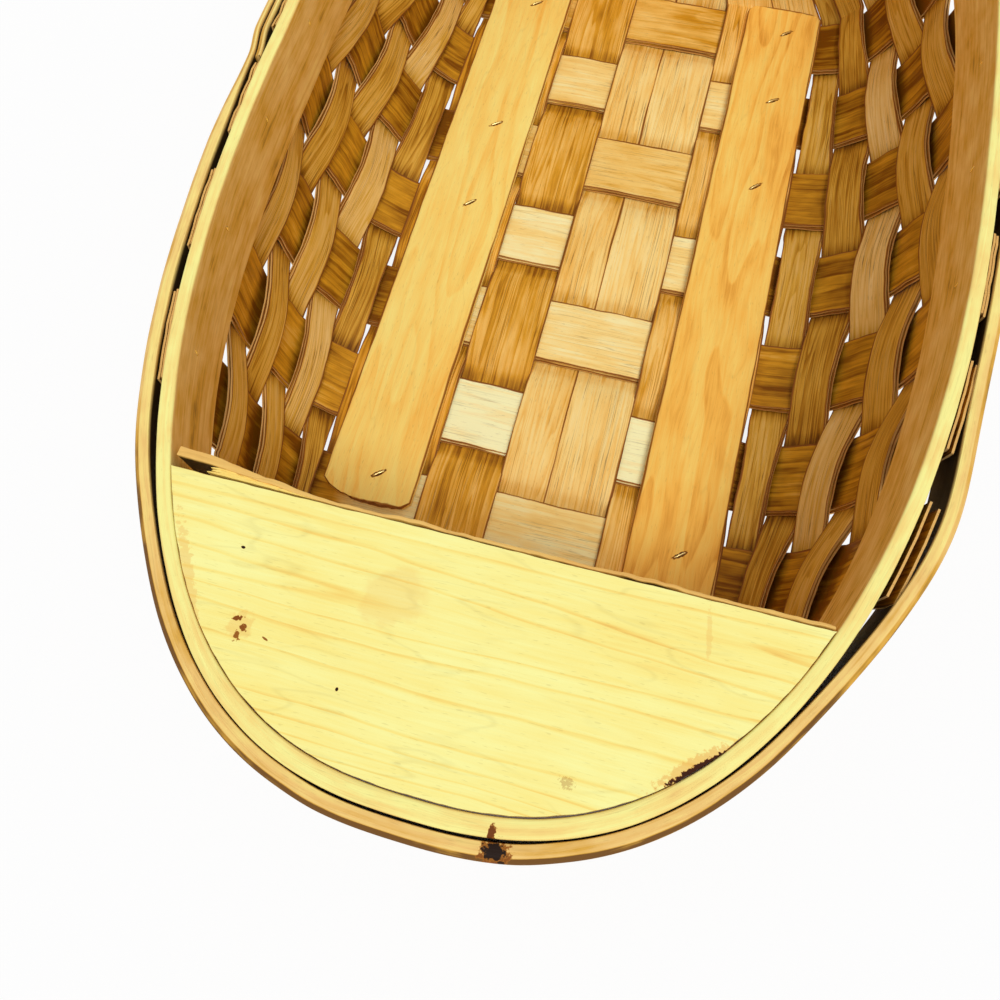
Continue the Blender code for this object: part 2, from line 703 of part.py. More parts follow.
def pin_lines():
    """Return the name, the tip and the underside of the head of each rim pin."""
    lines = []
    share = (RIM_HEIGHT - PIN_DROP) / RIM_HEIGHT
    for side, side_name in ((-1, "left"), (1, "right")):
        for rib in PINNED_RIBS[side_name]:
            y = rib_ys()[RIB_NAMES.index(rib)]
            length = side_length(y - side * RIB_LEAN * share, side)
            point, normal = rim_frame(length)
            tip = point + Vector((0, 0, RIM_Z - PIN_DROP))
            head = tip + normal * (outer_face(length) + SEAT_GAP)
            lines.append((f"rim_pin_{side_name}_{rib}", tip, head))
    return lines


def pins(parent):
    """Make the square pins through the hoops, each with its flat head."""
    upright = Vector((0, 0, 1))
    corners = ((1, 1), (-1, 1), (-1, -1), (1, -1))
    for name, tip, head in pin_lines():
        along = (head - tip).normalized()
        across = along.cross(upright).normalized()
        end = head + along * PIN_HEAD_HEIGHT
        stages = ((tip, PIN_SIDE), (head, PIN_SIDE), (head, PIN_HEAD_SIDE), (end, PIN_HEAD_SIDE))
        builder = bmesh.new()
        loft(builder, [
            [place + (across * a + upright * b) * size / 2 for a, b in corners]
            for place, size in stages
        ])
        add_object(name, builder, "steel", parent)


def pin_bores(parent):
    """Make the cutter for the rim pins."""
    builder = bmesh.new()
    for _, tip, head in pin_lines():
        along = (head - tip).normalized() * CUT_OVERRUN
        bar(builder, tip - along, head + along, PIN_SIDE + 2 * SEAT_GAP, Vector((0, 0, 1)))
    return add_cutter("pin_bores", builder, parent)


def clear_scene():
    """Remove every object that is already there."""
    for found in list(bpy.data.objects):
        bpy.data.objects.remove(found, do_unlink=True)


def build():
    """Make the whole basket."""
    clear_scene()
    basket = bpy.data.objects.new("basket", None)
    basket.location = (LAP_EXTRA / 2, 0, 0)
    bpy.context.scene.collection.objects.link(basket)

    through_rim = pin_bores(basket)
    for body in (inner_hoop(basket), outer_hoop(basket), *ribs(basket)):
        cut(body, through_rim)
    pins(basket)

    for name, end in (("near", -1), ("far", 1)):
        deck_board(f"{name}_deck_board", end, basket)
        clamp_strip(f"{name}_clamp_strip", end, basket)
    lengthwise_splints(basket)

    through_slats = staple_bores(basket)
    for body in (
        slat("left_floor_slat", LEFT_SLAT_X, LEFT_SLAT_WIDTH, LEFT_SLAT_HALF_LENGTH,
             LEFT_SLAT_CORNER_RADIUS, basket),
        slat("right_floor_slat", RIGHT_SLAT_X, RIGHT_SLAT_WIDTH, RIGHT_SLAT_HALF_LENGTH,
             RIGHT_SLAT_CORNER_RADIUS, basket),
    ):
        cut(body, through_slats)
    staples(basket)


build()
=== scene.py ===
"""Looks of an oval splint basket: hoops, ribs, weavers, deck boards, slats and fasteners.

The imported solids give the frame. Every piece here is made from the same outline and wall
shape as the solids, with the plies, grain, wear and fasteners that the solids leave out.
Lengths are in metres unless a comment says otherwise.
"""

import logging
import math
from dataclasses import dataclass, field, replace
from enum import Enum
from typing import Iterable, Sequence

import bpy
import numpy as np
from mathutils import Matrix, Vector

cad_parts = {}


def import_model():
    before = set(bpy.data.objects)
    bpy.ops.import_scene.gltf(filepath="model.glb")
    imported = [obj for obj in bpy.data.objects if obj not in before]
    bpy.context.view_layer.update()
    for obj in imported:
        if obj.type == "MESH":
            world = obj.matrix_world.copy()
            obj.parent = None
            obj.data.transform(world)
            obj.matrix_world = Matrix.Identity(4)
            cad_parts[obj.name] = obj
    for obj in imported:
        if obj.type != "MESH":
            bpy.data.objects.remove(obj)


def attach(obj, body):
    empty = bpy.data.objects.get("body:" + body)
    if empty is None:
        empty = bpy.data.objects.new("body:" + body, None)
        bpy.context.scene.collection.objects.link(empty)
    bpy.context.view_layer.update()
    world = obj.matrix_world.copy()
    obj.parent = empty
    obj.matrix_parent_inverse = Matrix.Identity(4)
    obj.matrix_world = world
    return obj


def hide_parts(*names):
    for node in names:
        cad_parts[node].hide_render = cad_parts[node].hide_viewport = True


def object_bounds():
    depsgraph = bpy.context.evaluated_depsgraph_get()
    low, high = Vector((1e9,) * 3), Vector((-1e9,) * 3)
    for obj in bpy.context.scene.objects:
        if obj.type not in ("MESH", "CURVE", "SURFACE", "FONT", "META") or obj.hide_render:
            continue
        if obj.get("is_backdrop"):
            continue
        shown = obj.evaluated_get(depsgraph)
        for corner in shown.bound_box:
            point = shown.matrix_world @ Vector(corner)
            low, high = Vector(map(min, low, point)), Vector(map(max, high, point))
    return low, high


LOG = logging.getLogger("basket")
BODY = "root"
GRAIN = "grain"
# From the middle of the rim to the middle of the whole, along X
SEAT_X = 0.0003
# Corners of a quad, as steps along the rows and across the columns
QUAD = ((0, 0), (0, 1), (1, 1), (1, 0))
# Share of each wave in a wandering line, and how much shorter each is than the last
WAVE_WEIGHTS = (1.0, 0.7, 0.5, 0.35, 0.25)
WAVE_STEP = 1.73
# Where a hoop's tone changes below its top edge, and where the cover of a face begins
TONE_BAND = (0.0001, 0.0008)
COVER_BAND = (0.0004, 0.0012)
COVER_SHADE = 0.96
# Degrees between faces up to which an edge is shaded smooth
SMOOTH_DEGREES = 40.0
Array = np.ndarray
Pair = tuple[float, float]
Triple = tuple[float, float, float]
Colour = Triple
Finish = bpy.types.Material
Node = bpy.types.Node
Piece = bpy.types.Object
Socket = bpy.types.NodeSocket


class Side(Enum):
    """The two long sides of the basket, by the sign of X."""

    LEFT = -1
    RIGHT = 1


class End(Enum):
    """The two ends of the basket, by the sign of Y."""

    NEAR = -1
    FAR = 1


class Slot(Enum):
    """The record's material slots."""

    HOOP = "hoop_wood"
    DECK = "deck_wood"
    SLAT = "slat_wood"
    RIB = "rib_wood"
    STRIP = "strip_wood"
    WEAVER = "weaver_wood"
    STEEL = "steel"


def smooth_step(share: Array | float) -> Array:
    """Ease from 0 to 1 as share goes from 0 to 1.

    Args:
        share: Position between the two ends.

    Returns:
        The eased value, held at 0 and 1 outside.
    """
    held = np.clip(share, 0.0, 1.0)
    return held * held * (3 - 2 * held)


def between(first: Array | float, second: Array | float, share: Array | float) -> Array:
    """Return what lies between two values at a share of the way."""
    return first + (second - first) * share


def unit(vectors: Array) -> Array:
    """Return vectors scaled to length one."""
    return vectors / np.linalg.norm(vectors, axis=-1, keepdims=True)


def running(steps: Array) -> Array:
    """Return running totals from 0 along the last axis."""
    return np.concatenate((np.zeros_like(steps[..., :1]), np.cumsum(steps, axis=-1)), axis=-1)


@dataclass(frozen=True)
class Wave:
    """A gentle random line, for edges and faces that wander.

    Attributes:
        pitch: Length of its longest wave.
        reach: Largest reach to either side.
        seed: Fixed seed of its waves.
    """

    pitch: float
    reach: float
    seed: int

    def at(self, lengths: Array) -> Array:
        """Return the line's value at each length."""
        random = np.random.default_rng(self.seed)
        total = np.zeros_like(np.asarray(lengths, dtype=float))
        for step, weight in enumerate(WAVE_WEIGHTS):
            phase = random.uniform(0, 2 * math.pi)
            turned = 2 * math.pi * lengths / self.pitch * WAVE_STEP**step + phase
            total = total + weight * np.sin(turned)
        return total * self.reach / np.sum(WAVE_WEIGHTS)


def corners_of(*pairs: tuple[Array, Array | float]) -> Array:
    """Return sections, shaped (stations, corners, 2), from the pair of each corner."""
    return np.stack([np.stack(np.broadcast_arrays(*pair), axis=-1) for pair in pairs], axis=1)


def rounded(corners: Array, radius: float, steps: int) -> Array:
    """Round the corners of closed sections.

    Args:
        corners: Corner points, shaped (sections, corners, 2).
        radius: How far from a corner the rounding starts.
        steps: Points that replace each corner, less one.

    Returns:
        The rounded sections, shaped (sections, corners * (steps + 1), 2).
    """
    before = corners + unit(np.roll(corners, 1, axis=1) - corners) * radius
    after = corners + unit(np.roll(corners, -1, axis=1) - corners) * radius
    shares = np.linspace(0, 1, steps + 1)[None, None, :, None]
    arcs = (
        before[:, :, None] * (1 - shares) ** 2
        + corners[:, :, None] * 2 * shares * (1 - shares)
        + after[:, :, None] * shares**2
    )
    return arcs.reshape(len(corners), -1, 2)


def linked(name: str, data: bpy.types.ID) -> Piece:
    """Return a new object of the scene."""
    made = bpy.data.objects.new(name, data)
    bpy.context.scene.collection.objects.link(made)
    return made


@dataclass
class Draft:
    """A mesh being drafted: points, faces, grain map and point values."""

    points: Array
    faces: list[tuple[int, ...]]
    grain: Array
    values: dict[str, Array] = field(default_factory=dict)

    @staticmethod
    def sheet(grid: Array, along: Array, across: Array) -> "Draft":
        """Make a sheet from a grid of points, or a sleeve where each row is a ring.

        Args:
            grid: Points shaped (rows along, columns across, 3).
            along: Grain length of each row.
            across: Grain width at each point of a row, and once more where a ring closes.

        Returns:
            The draft of the sheet.
        """
        count, wide = grid.shape[:2]
        spans = (np.arange(count - 1), np.arange(across.shape[1] - 1))
        rows, columns = np.meshgrid(*spans, indexing="ij")
        index = [(rows + a) * wide + (columns + b) % wide for a, b in QUAD]
        grain = [
            np.stack((along[rows + a], across[rows + a, columns + b]), axis=-1) for a, b in QUAD
        ]
        faces = [tuple(face) for face in np.stack(index, axis=-1).reshape(-1, 4).tolist()]
        return Draft(grid.reshape(-1, 3), faces, np.stack(grain, axis=-2).reshape(-1, 2))

    @staticmethod
    def skin(rings: Array, along: Array) -> "Draft":
        """Skin rings of points into a sleeve with closed ends.

        Args:
            rings: Points shaped (rings, points, 3).
            along: Grain length at each ring.

        Returns:
            The draft, with the grain running from ring to ring.
        """
        count, around = rings.shape[:2]
        steps = np.linalg.norm(np.roll(rings, -1, axis=1) - rings, axis=2)
        across = running(steps)
        made = Draft.sheet(rings, along, across)
        for row, turn in ((0, -1), (count - 1, 1)):
            made.faces.append(tuple(range(row * around, (row + 1) * around))[::turn])
            ends = np.column_stack((np.full(around, along[row]), across[row, :-1]))
            made.grain = np.concatenate((made.grain, ends))
        return made

    def lay_grain(self, axis: int) -> None:
        """Lay the grain straight along X or Y, as in a flat board."""
        corners = self.points[np.concatenate([np.array(face) for face in self.faces])]
        self.grain = np.column_stack((corners[:, axis], corners[:, 1 - axis] + corners[:, 2]))

    def keep(self, **values: Array | float) -> None:
        """Keep values on the points, each for the whole draft or for every point."""
        count = len(self.points)
        self.values = {
            key: np.full(count, value) if np.ndim(value) == 0 else value
            for key, value in values.items()
        }

    def volume(self) -> float:
        """Return the signed volume inside the faces."""
        total = 0.0
        for face in self.faces:
            corners = self.points[list(face)]
            fan = np.cross(corners[1:-1] - corners[0], corners[2:] - corners[0])
            total += float((fan @ corners[0]).sum())
        return total / 6

    def object(self, name: str, smooth_degrees: float = SMOOTH_DEGREES, shift: float = SEAT_X) -> Piece:
        """Turn the draft into an object of the scene.

        Args:
            name: Name of the object.
            smooth_degrees: Edges sharper than this stay sharp.
            shift: How far it moves along X, from the rim's middle to the whole's.

        Returns:
            The new object.
        """
        mesh = bpy.data.meshes.new(name)
        mesh.from_pydata((self.points + (shift, 0.0, 0.0)).tolist(), [], self.faces)
        layer = mesh.uv_layers.new(name=GRAIN)
        layer.data.foreach_set("uv", self.grain.astype(np.float32).ravel())
        for key, value in self.values.items():
            kind, part = ("FLOAT_VECTOR", "vector") if value.ndim == 2 else ("FLOAT", "value")
            made = mesh.attributes.new(key, kind, "POINT")
            made.data.foreach_set(part, value.astype(np.float32).ravel())
        mesh.validate()
        mesh.shade_smooth()
        mesh.set_sharp_from_angle(angle=math.radians(smooth_degrees))
        for face in mesh.polygons:
            face.use_smooth = face.loop_total <= 4
        return linked(name, mesh)

    def closed(self, name: str, smooth_degrees: float = SMOOTH_DEGREES, shift: float = SEAT_X) -> Piece:
        """Turn a closed draft into an object whose faces point outwards."""
        if self.volume() < 0:
            starts = np.cumsum([0, *map(len, self.faces)])
            spans = [np.arange(*span)[::-1] for span in zip(starts, starts[1:])]
            self.grain = self.grain[np.concatenate(spans)]
            self.faces = [face[::-1] for face in self.faces]
        return self.object(name, smooth_degrees, shift)


@dataclass
class RimOutline:
    """Inner face of the inner hoop seen from above, as dense tables."""

    half_length: float = 0.218
    half_width: float = 0.1077
    power: float = 2.48
    near_tip_shift: float = -0.0017
    samples: int = 2880
    points: Array = field(init=False)
    normals: Array = field(init=False)
    lengths: Array = field(init=False)
    perimeter: float = field(init=False)
    on_right: Array = field(init=False)

    def __post_init__(self) -> None:
        """Fill the tables."""
        angles = np.linspace(0, 2 * math.pi, self.samples, endpoint=False)
        circle = np.column_stack((np.cos(angles), np.sin(angles)))
        reach = np.array((self.half_width, self.half_length))
        shape = np.sign(circle) * np.abs(circle) ** (2 / self.power)
        points = shape * reach
        slopes = np.sign(shape) * np.abs(shape) ** (self.power - 1) / reach
        nearness = np.minimum(shape[:, 1], 0.0)
        points[:, 0] += self.near_tip_shift * nearness**2
        slopes[:, 1] -= 2 * self.near_tip_shift * nearness / self.half_length * slopes[:, 0]
        steps = np.linalg.norm(np.roll(points, -1, axis=0) - points, axis=1)
        self.points = points
        self.normals = unit(slopes)
        self.lengths = running(steps)[:-1]
        self.perimeter = float(steps.sum())
        self.on_right = circle[:, 0] > 0

    def at(self, lengths: Array) -> tuple[Array, Array]:
        """Return points and outward normals at lengths round the rim from the right."""
        found = [
            np.interp(lengths, self.lengths, table[:, axis], period=self.perimeter)
            for table in (self.points, self.normals)
            for axis in (0, 1)
        ]
        return np.stack(found[:2], axis=-1), unit(np.stack(found[2:], axis=-1))

    def tipness(self, points: Array, length: float) -> Array:
        """Return 1 at the tips of the oval, falling to 0 within a length of them."""
        return smooth_step(1 - (self.half_length - np.abs(points[:, 1])) / length)

    def side_x(self, y: Array | float, offset: float, side: Side) -> Array:
        """Return X of a long side at Y, moved outwards by an offset."""
        chosen = self.on_right == (side is Side.RIGHT)
        moved = (self.points + self.normals * offset)[chosen]
        order = np.argsort(moved[:, 1])
        return np.interp(y, moved[order, 1], moved[order, 0])

    def side_length(self, y: float, side: Side) -> float:
        """Return the length round the rim at which a long side passes Y."""
        chosen = self.on_right == (side is Side.RIGHT)
        lengths, ys = self.lengths[chosen], self.points[chosen, 1]
        if side is Side.RIGHT:
            lengths = np.where(lengths > self.perimeter / 2, lengths - self.perimeter, lengths)
        order = np.argsort(ys)
        return float(np.interp(y, ys[order], lengths[order]))


@dataclass
class WovenShape:
    """Surface on which the ribs lie, and where the lengthwise splints follow it."""

    rim: RimOutline
    floor_left: float = -0.079
    floor_right: float = 0.0695
    rib_offset: float = 0.00505
    rib_floor: float = 0.00275
    rim_z: float = 0.09375
    rim_height: float = 0.091
    hoop_height: float = 0.029
    lean: float = 0.006
    pitch: float = 0.042
    rib_count: int = 7
    rib_width: float = 0.027
    margin: float = 0.001
    dip_share: float = 0.13
    chord_y: float = 0.15855
    chord_half_spread: float = 0.07586
    chord_foot: float = 0.07775
    chord_top: float = 0.08995
    bend: float = 0.009
    rise_share: float = 0.6
    end_run: float = 0.068
    wall_rise: float = field(init=False)
    half_span: float = field(init=False)
    body_end: float = field(init=False)
    arcs: dict[Side, tuple[Array, Array]] = field(init=False)

    def __post_init__(self) -> None:
        """Fill the tables of arc length up each wall."""
        self.wall_rise = self.rim_z - self.hoop_height - self.rib_floor
        self.half_span = (self.rib_count - 1) * self.pitch / 2
        self.body_end = self.half_span + self.rib_width / 2 + self.margin
        angles = np.linspace(0, math.pi / 2, 2880)
        self.arcs = {}
        for side in Side:
            across = abs(float(self.rim.side_x(0.0, self.rib_offset, side)))
            reach = across - abs(self.foot(side))
            speed = np.hypot(reach * np.cos(angles), self.wall_rise * np.sin(angles))
            steps = (speed[1:] + speed[:-1]) / 2 * angles[1]
            self.arcs[side] = (angles, running(steps))

    def foot(self, side: Side) -> float:
        """Return the X at which the floor ends and a wall begins."""
        return self.floor_right if side is Side.RIGHT else self.floor_left

    def wall_length(self, side: Side) -> float:
        """Return the length up a wall from the floor to the hoop."""
        return float(self.arcs[side][1][-1])

    def wall_edge(self, side: Side) -> float:
        """Return the place across at which a wall meets the hoop."""
        return self.foot(side) + side.value * self.wall_length(side)

    def rib_ys(self) -> Array:
        """Return the Y of each rib on the floor, near end first."""
        return np.arange(self.rib_count) * self.pitch - self.half_span

    def wall(self, y: Array, angle: Array, side: Side, above: Array) -> Array:
        """Return points of a wall at angles up its curve, or above it between the hoops."""
        foot = self.foot(side)
        height = self.wall_rise * (1 - np.cos(angle)) + above
        leaned = y - side.value * self.lean * height / self.rim_height
        reach = self.rim.side_x(leaned, self.rib_offset, side) - foot
        return np.stack((foot + reach * np.sin(angle), leaned, self.rib_floor + height), -1)

    def surface(self, y: Array, place: Array, dipped: bool) -> Array:
        """Return points of the woven surface.

        Args:
            y: Position along the basket on the floor.
            place: Position across, measured along floor and walls.
            dipped: Whether the place slides down the wall towards the ends.

        Returns:
            Points shaped like y and place, with X, Y, Z last.
        """
        y, place = np.broadcast_arrays(np.asarray(y, float), np.asarray(place, float))
        found = np.stack((place, y, np.full_like(y, self.rib_floor)), axis=-1)
        dip = 1 - self.dip_share * smooth_step(np.abs(y) / self.body_end) if dipped else 1.0
        for side in Side:
            climbed = (place - self.foot(side)) * side.value
            angle = np.interp(climbed, self.arcs[side][1], self.arcs[side][0]) * dip
            above = np.maximum(climbed - self.wall_length(side), 0.0)
            points = self.wall(y, angle, side, above)
            found = np.where((climbed > 0)[..., None], points, found)
        return found

    def chord_x(self, place: Array) -> Array:
        """Return where a place across lands along the deck's straight edge."""
        left, right = self.wall_edge(Side.LEFT), self.wall_edge(Side.RIGHT)
        return self.chord_half_spread * (2 * (place - left) / (right - left) - 1)

    def lengthwise(self, travel: Array, place: Array, spread: Array) -> Array:
        """Return points along a splint that runs from deck to deck.

        Args:
            travel: Position along the splint, with 0 in the middle of the basket.
            place: Position across the body.
            spread: Sideways shift where the splint meets the deck.

        Returns:
            Points of the woven surface and of its rising ends.
        """
        travel, place, spread = np.broadcast_arrays(travel, place, spread)
        found = self.surface(np.clip(travel, -self.body_end, self.body_end), place, True)
        for end in End:
            past = travel * end.value - self.body_end
            share = np.clip(past / self.end_run, 0.0, 1.0)[..., None]
            start = self.surface(np.full_like(place, end.value * self.body_end), place, True)
            inner = end.value * (self.body_end - self.bend)
            before = self.surface(np.full_like(place, inner), place, True)
            turned = start + unit(start - before) * self.bend
            flat = np.full_like(place, end.value * self.chord_y)
            foot = np.full_like(place, self.chord_foot)
            finish = np.stack((self.chord_x(place) + spread, flat, foot), axis=-1)
            under = finish.copy()
            under[..., 2] -= (finish[..., 2] - start[..., 2]) * self.rise_share
            left = 1 - share
            points = (
                start * left**3
                + turned * 3 * left**2 * share
                + under * 3 * left * share**2
                + finish * share**3
            )
            upright = np.clip(past - self.end_run, 0.0, self.chord_top - self.chord_foot)
            points[..., 2] += upright
            found = np.where((past > 0)[..., None], points, found)
        return found


def grid_normals(grid: Array) -> Array:
    """Return the inward unit normals of a grid, rows along and columns across."""
    return unit(np.cross(np.gradient(grid, axis=1), np.gradient(grid, axis=0)))


def usable(sockets: Iterable[Socket], name: str) -> Socket:
    """Return the socket of a name that the node's settings leave in use."""
    return next(item for item in sockets if item.enabled and item.name == name)


@dataclass
class Sketch:
    """A node tree being drawn, with short calls for what every tree needs."""

    tree: bpy.types.NodeTree

    @staticmethod
    def of_material(name: str) -> tuple[Finish, "Sketch", Node]:
        """Start a material, and return it with its sketch and its shader."""
        made = bpy.data.materials.new(name)
        made.use_nodes = True
        return made, Sketch(made.node_tree), made.node_tree.nodes["Principled BSDF"]

    def node(self, kind: str, **settings: object) -> Node:
        """Add a node.

        Args:
            kind: Blender's name of the node type.
            settings: Properties to set on the node.

        Returns:
            The new node.
        """
        made = self.tree.nodes.new(kind)
        for key, value in settings.items():
            setattr(made, key, value)
        return made

    def feed(self, node: Node, **inputs: object) -> Node:
        """Give a node's inputs a value or a link each.

        Args:
            node: The node to feed.
            inputs: Values or sockets by input name, with _ for a blank.

        Returns:
            The same node.
        """
        for key, value in inputs.items():
            socket = node.inputs[key.replace("_", " ")]
            self.join(value, socket)
        return node

    def join(self, value: object, socket: Socket) -> None:
        """Link a socket, or set a plain value on it."""
        if isinstance(value, Socket):
            self.tree.links.new(value, socket)
        else:
            socket.default_value = value

    def sum(self, operation: str, *values: object, held: bool = False) -> Socket:
        """Return the result of a Math node."""
        made = self.node("ShaderNodeMath", operation=operation, use_clamp=held)
        return self.filled(made, values).outputs[0]

    def vector_sum(self, operation: str, *values: object) -> Socket:
        """Return the result of a Vector Math node."""
        made = self.node("ShaderNodeVectorMath", operation=operation)
        return self.filled(made, values).outputs["Value" if operation == "LENGTH" else "Vector"]

    def triple(self, x: object, y: object, z: object) -> Socket:
        """Return a vector made of three numbers."""
        return self.filled(self.node("ShaderNodeCombineXYZ"), (x, y, z)).outputs[0]

    def filled(self, node: Node, values: Iterable[object]) -> Node:
        """Give a node's first inputs their values in order, and return the node."""
        for value, socket in zip(values, node.inputs):
            self.join(value, socket)
        return node

    def scaled(self, vector: object, scale: object) -> Socket:
        """Return a vector times a number."""
        made = self.node("ShaderNodeVectorMath", operation="SCALE")
        self.join(vector, made.inputs[0])
        self.join(scale, made.inputs["Scale"])
        return made.outputs["Vector"]

    def noise(self, vector: object, detail: float, roughness: float = 0.5) -> object:
        """Return smooth noise of about 0 to 1 at a vector, one swell a unit."""
        made = self.node("ShaderNodeTexNoise", noise_dimensions="3D")
        self.feed(made, Vector=vector, Scale=1.0, Detail=detail, Roughness=roughness)
        return made.outputs[0]

    def range(self, value: object, low: float, high: float) -> object:
        """Return where a value stands between two others, eased and held to 0 and 1."""
        made = self.node("ShaderNodeMapRange", interpolation_type="SMOOTHSTEP")
        return self.feed(made, Value=value, From_Min=low, From_Max=high).outputs["Result"]

    def blend(self, share: object, first: object, second: object) -> object:
        """Return a mix of two colours."""
        made = self.node("ShaderNodeMix", data_type="RGBA")
        for name, item in (("Factor", share), ("A", first), ("B", second)):
            item = (*item, 1.0) if isinstance(item, tuple) else item
            self.join(item, usable(made.inputs, name))
        return usable(made.outputs, "Result")

    def warmed_then_darkened(self, share: object, colour: object, deep: Colour) -> object:
        """Return a colour that goes over a warm brown to a dark one."""
        warm = self.blend(self.range(share, *WARM_BAND), colour, WARM_BROWN)
        return self.blend(self.range(share, *DARK_BAND), warm, deep)

    def ramp(self, value: object, stops: Sequence[tuple[float, Colour]]) -> object:
        """Return a colour from a ramp."""
        made = self.node("ShaderNodeValToRGB")
        elements = made.color_ramp.elements
        while len(elements) < len(stops):
            elements.new(0.5)
        for element, (place, colour) in zip(elements, stops):
            element.position = place
            element.color = (*colour, 1.0)
        self.join(value, made.inputs[0])
        return made.outputs[0]

    def attribute(self, name: str) -> Socket:
        """Return a number kept on the mesh, in a shader."""
        return self.node("ShaderNodeAttribute", attribute_name=name).outputs["Fac"]

    def kept(self, name: str, kind: str = "FLOAT") -> Socket:
        """Return a value kept on the mesh, in geometry nodes."""
        made = self.node("GeometryNodeInputNamedAttribute", data_type=kind)
        return usable(self.feed(made, Name=name).outputs, "Attribute")

    def store(self, name: str, domain: str, value: object, **inputs: object) -> Socket:
        """Keep a number on geometry, and return the geometry."""
        made = self.node("GeometryNodeStoreNamedAttribute", data_type="FLOAT", domain=domain)
        self.join(value, usable(self.feed(made, Name=name, **inputs).inputs, "Value"))
        return made.outputs[0]

    def gathered(self, *parts: Socket) -> Socket:
        """Return several geometries as one."""
        made = self.node("GeometryNodeJoinGeometry")
        for part in parts:
            self.join(part, made.inputs[0])
        return made.outputs[0]

    def bumped(self, shader: Node, height: object, strength: float, rise: float) -> None:
        """Give a shader its relief."""
        bump = self.node("ShaderNodeBump")
        self.feed(bump, Strength=strength, Distance=rise, Height=height)
        self.join(bump.outputs[0], shader.inputs["Normal"])


def paint(red: float, green: float, blue: float) -> Colour:
    """Return a linear colour from display values of 0 to 255."""
    shares = [value / 255 for value in (red, green, blue)]
    return tuple(
        share / 12.92 if share <= 0.04045 else ((share + 0.055) / 1.055) ** 2.4
        for share in shares
    )


UMBER = paint(104, 58, 16)
# Near-black brown: soot of burn marks and dark dots, and painted shade on covered faces, gaps and
# staple slots
SOOT_AND_SHADE = paint(26, 10, 3)
SCORCH = paint(112, 56, 16)
WARM_BROWN = paint(176, 112, 40)
RUST = paint(110, 44, 4)
AMBER = paint(240, 180, 90)
GRIME = paint(58, 20, 0)
# Value of "brink" at an edge, from which it falls by the millimetres from that edge
BRINK_EDGE = 50.0
# How much the seed moves a noise in depth, and how many millimetres along the grain
SEED_DEPTH = 7.31
SEED_RUN = 91.7
MILLIMETRES = 1000.0
# Shares of stains, brinks and spots of painted shade between which their colour turns warm, and then
# dark
WARM_BAND = (0.0, 0.55)
DARK_BAND = (0.3, 1.0)
# Where stains and spots of painted shade fade, as shares of their reach
FADE_BAND = (1.1, 0.7)
# Detail and roughness of the noise that makes stains and spots of painted shade uneven
SPOT_NOISE = (3.0, 0.6)


@dataclass(frozen=True)
class StainAndShadeSpot:
    """A soft spot on a finish, placed in metres: a stain, or painted shade for a staple's slot.

    Attributes:
        middle: Where its middle is.
        reach: Half its size along its own X, Y and Z.
        turn: Degrees that it is turned about Z.
        colour: Its colour.
        strength: How much of what is under it it covers.
        ragged: How uneven its outline is.
        grain: Size of that unevenness.
    """

    middle: Triple
    reach: Triple
    turn: float
    colour: Colour
    strength: float
    ragged: float
    grain: float = 0.0012

    def over(self, draw: Sketch, colour: object) -> object:
        """Return a colour with the spot on it."""
        place = draw.node("ShaderNodeTexCoord").outputs["Object"]
        moved = draw.vector_sum("SUBTRACT", place, self.middle)
        turned = draw.node("ShaderNodeVectorRotate", rotation_type="Z_AXIS")
        draw.feed(turned, Vector=moved, Angle=-math.radians(self.turn))
        local = draw.vector_sum("DIVIDE", turned.outputs[0], self.reach)
        rough = draw.noise(draw.scaled(place, 1 / self.grain), *SPOT_NOISE)
        uneven = draw.sum("SUBTRACT", rough, 0.5)
        away = draw.vector_sum("LENGTH", local)
        away = draw.sum("MULTIPLY_ADD", uneven, self.ragged * 2, away)
        share = draw.sum("MULTIPLY", draw.range(away, *FADE_BAND), self.strength)
        if self.colour is AMBER:
            return draw.blend(share, colour, self.colour)
        return draw.warmed_then_darkened(share, colour, self.colour)


def stains_at(height: float, depth: float, *rows: tuple) -> tuple[StainAndShadeSpot, ...]:
    """Return stains at one height.

    Args:
        height: Z of their middles.
        depth: Half their size along Z.
        rows: X, Y, half width and half length of each, and the rest of its fields in order.

    Returns:
        The stains.
    """
    return tuple(
        StainAndShadeSpot((x, y, height), (wide, long, depth), *rest) for x, y, wide, long, *rest in rows
    )


@dataclass(frozen=True)
class GrainMap:
    """Where a shader stands on the grain map, in millimetres along and across."""

    draw: Sketch
    along: object
    across: object
    seed: object

    def noise(self, size: Pair, detail: float, roughness: float = 0.5) -> object:
        """Return noise whose swells have a size along and across the grain."""
        draw = self.draw
        along = draw.sum("DIVIDE", self.along, size[0])
        across = draw.sum("DIVIDE", self.across, size[1])
        return draw.noise(draw.triple(along, across, self.seed), detail, roughness)


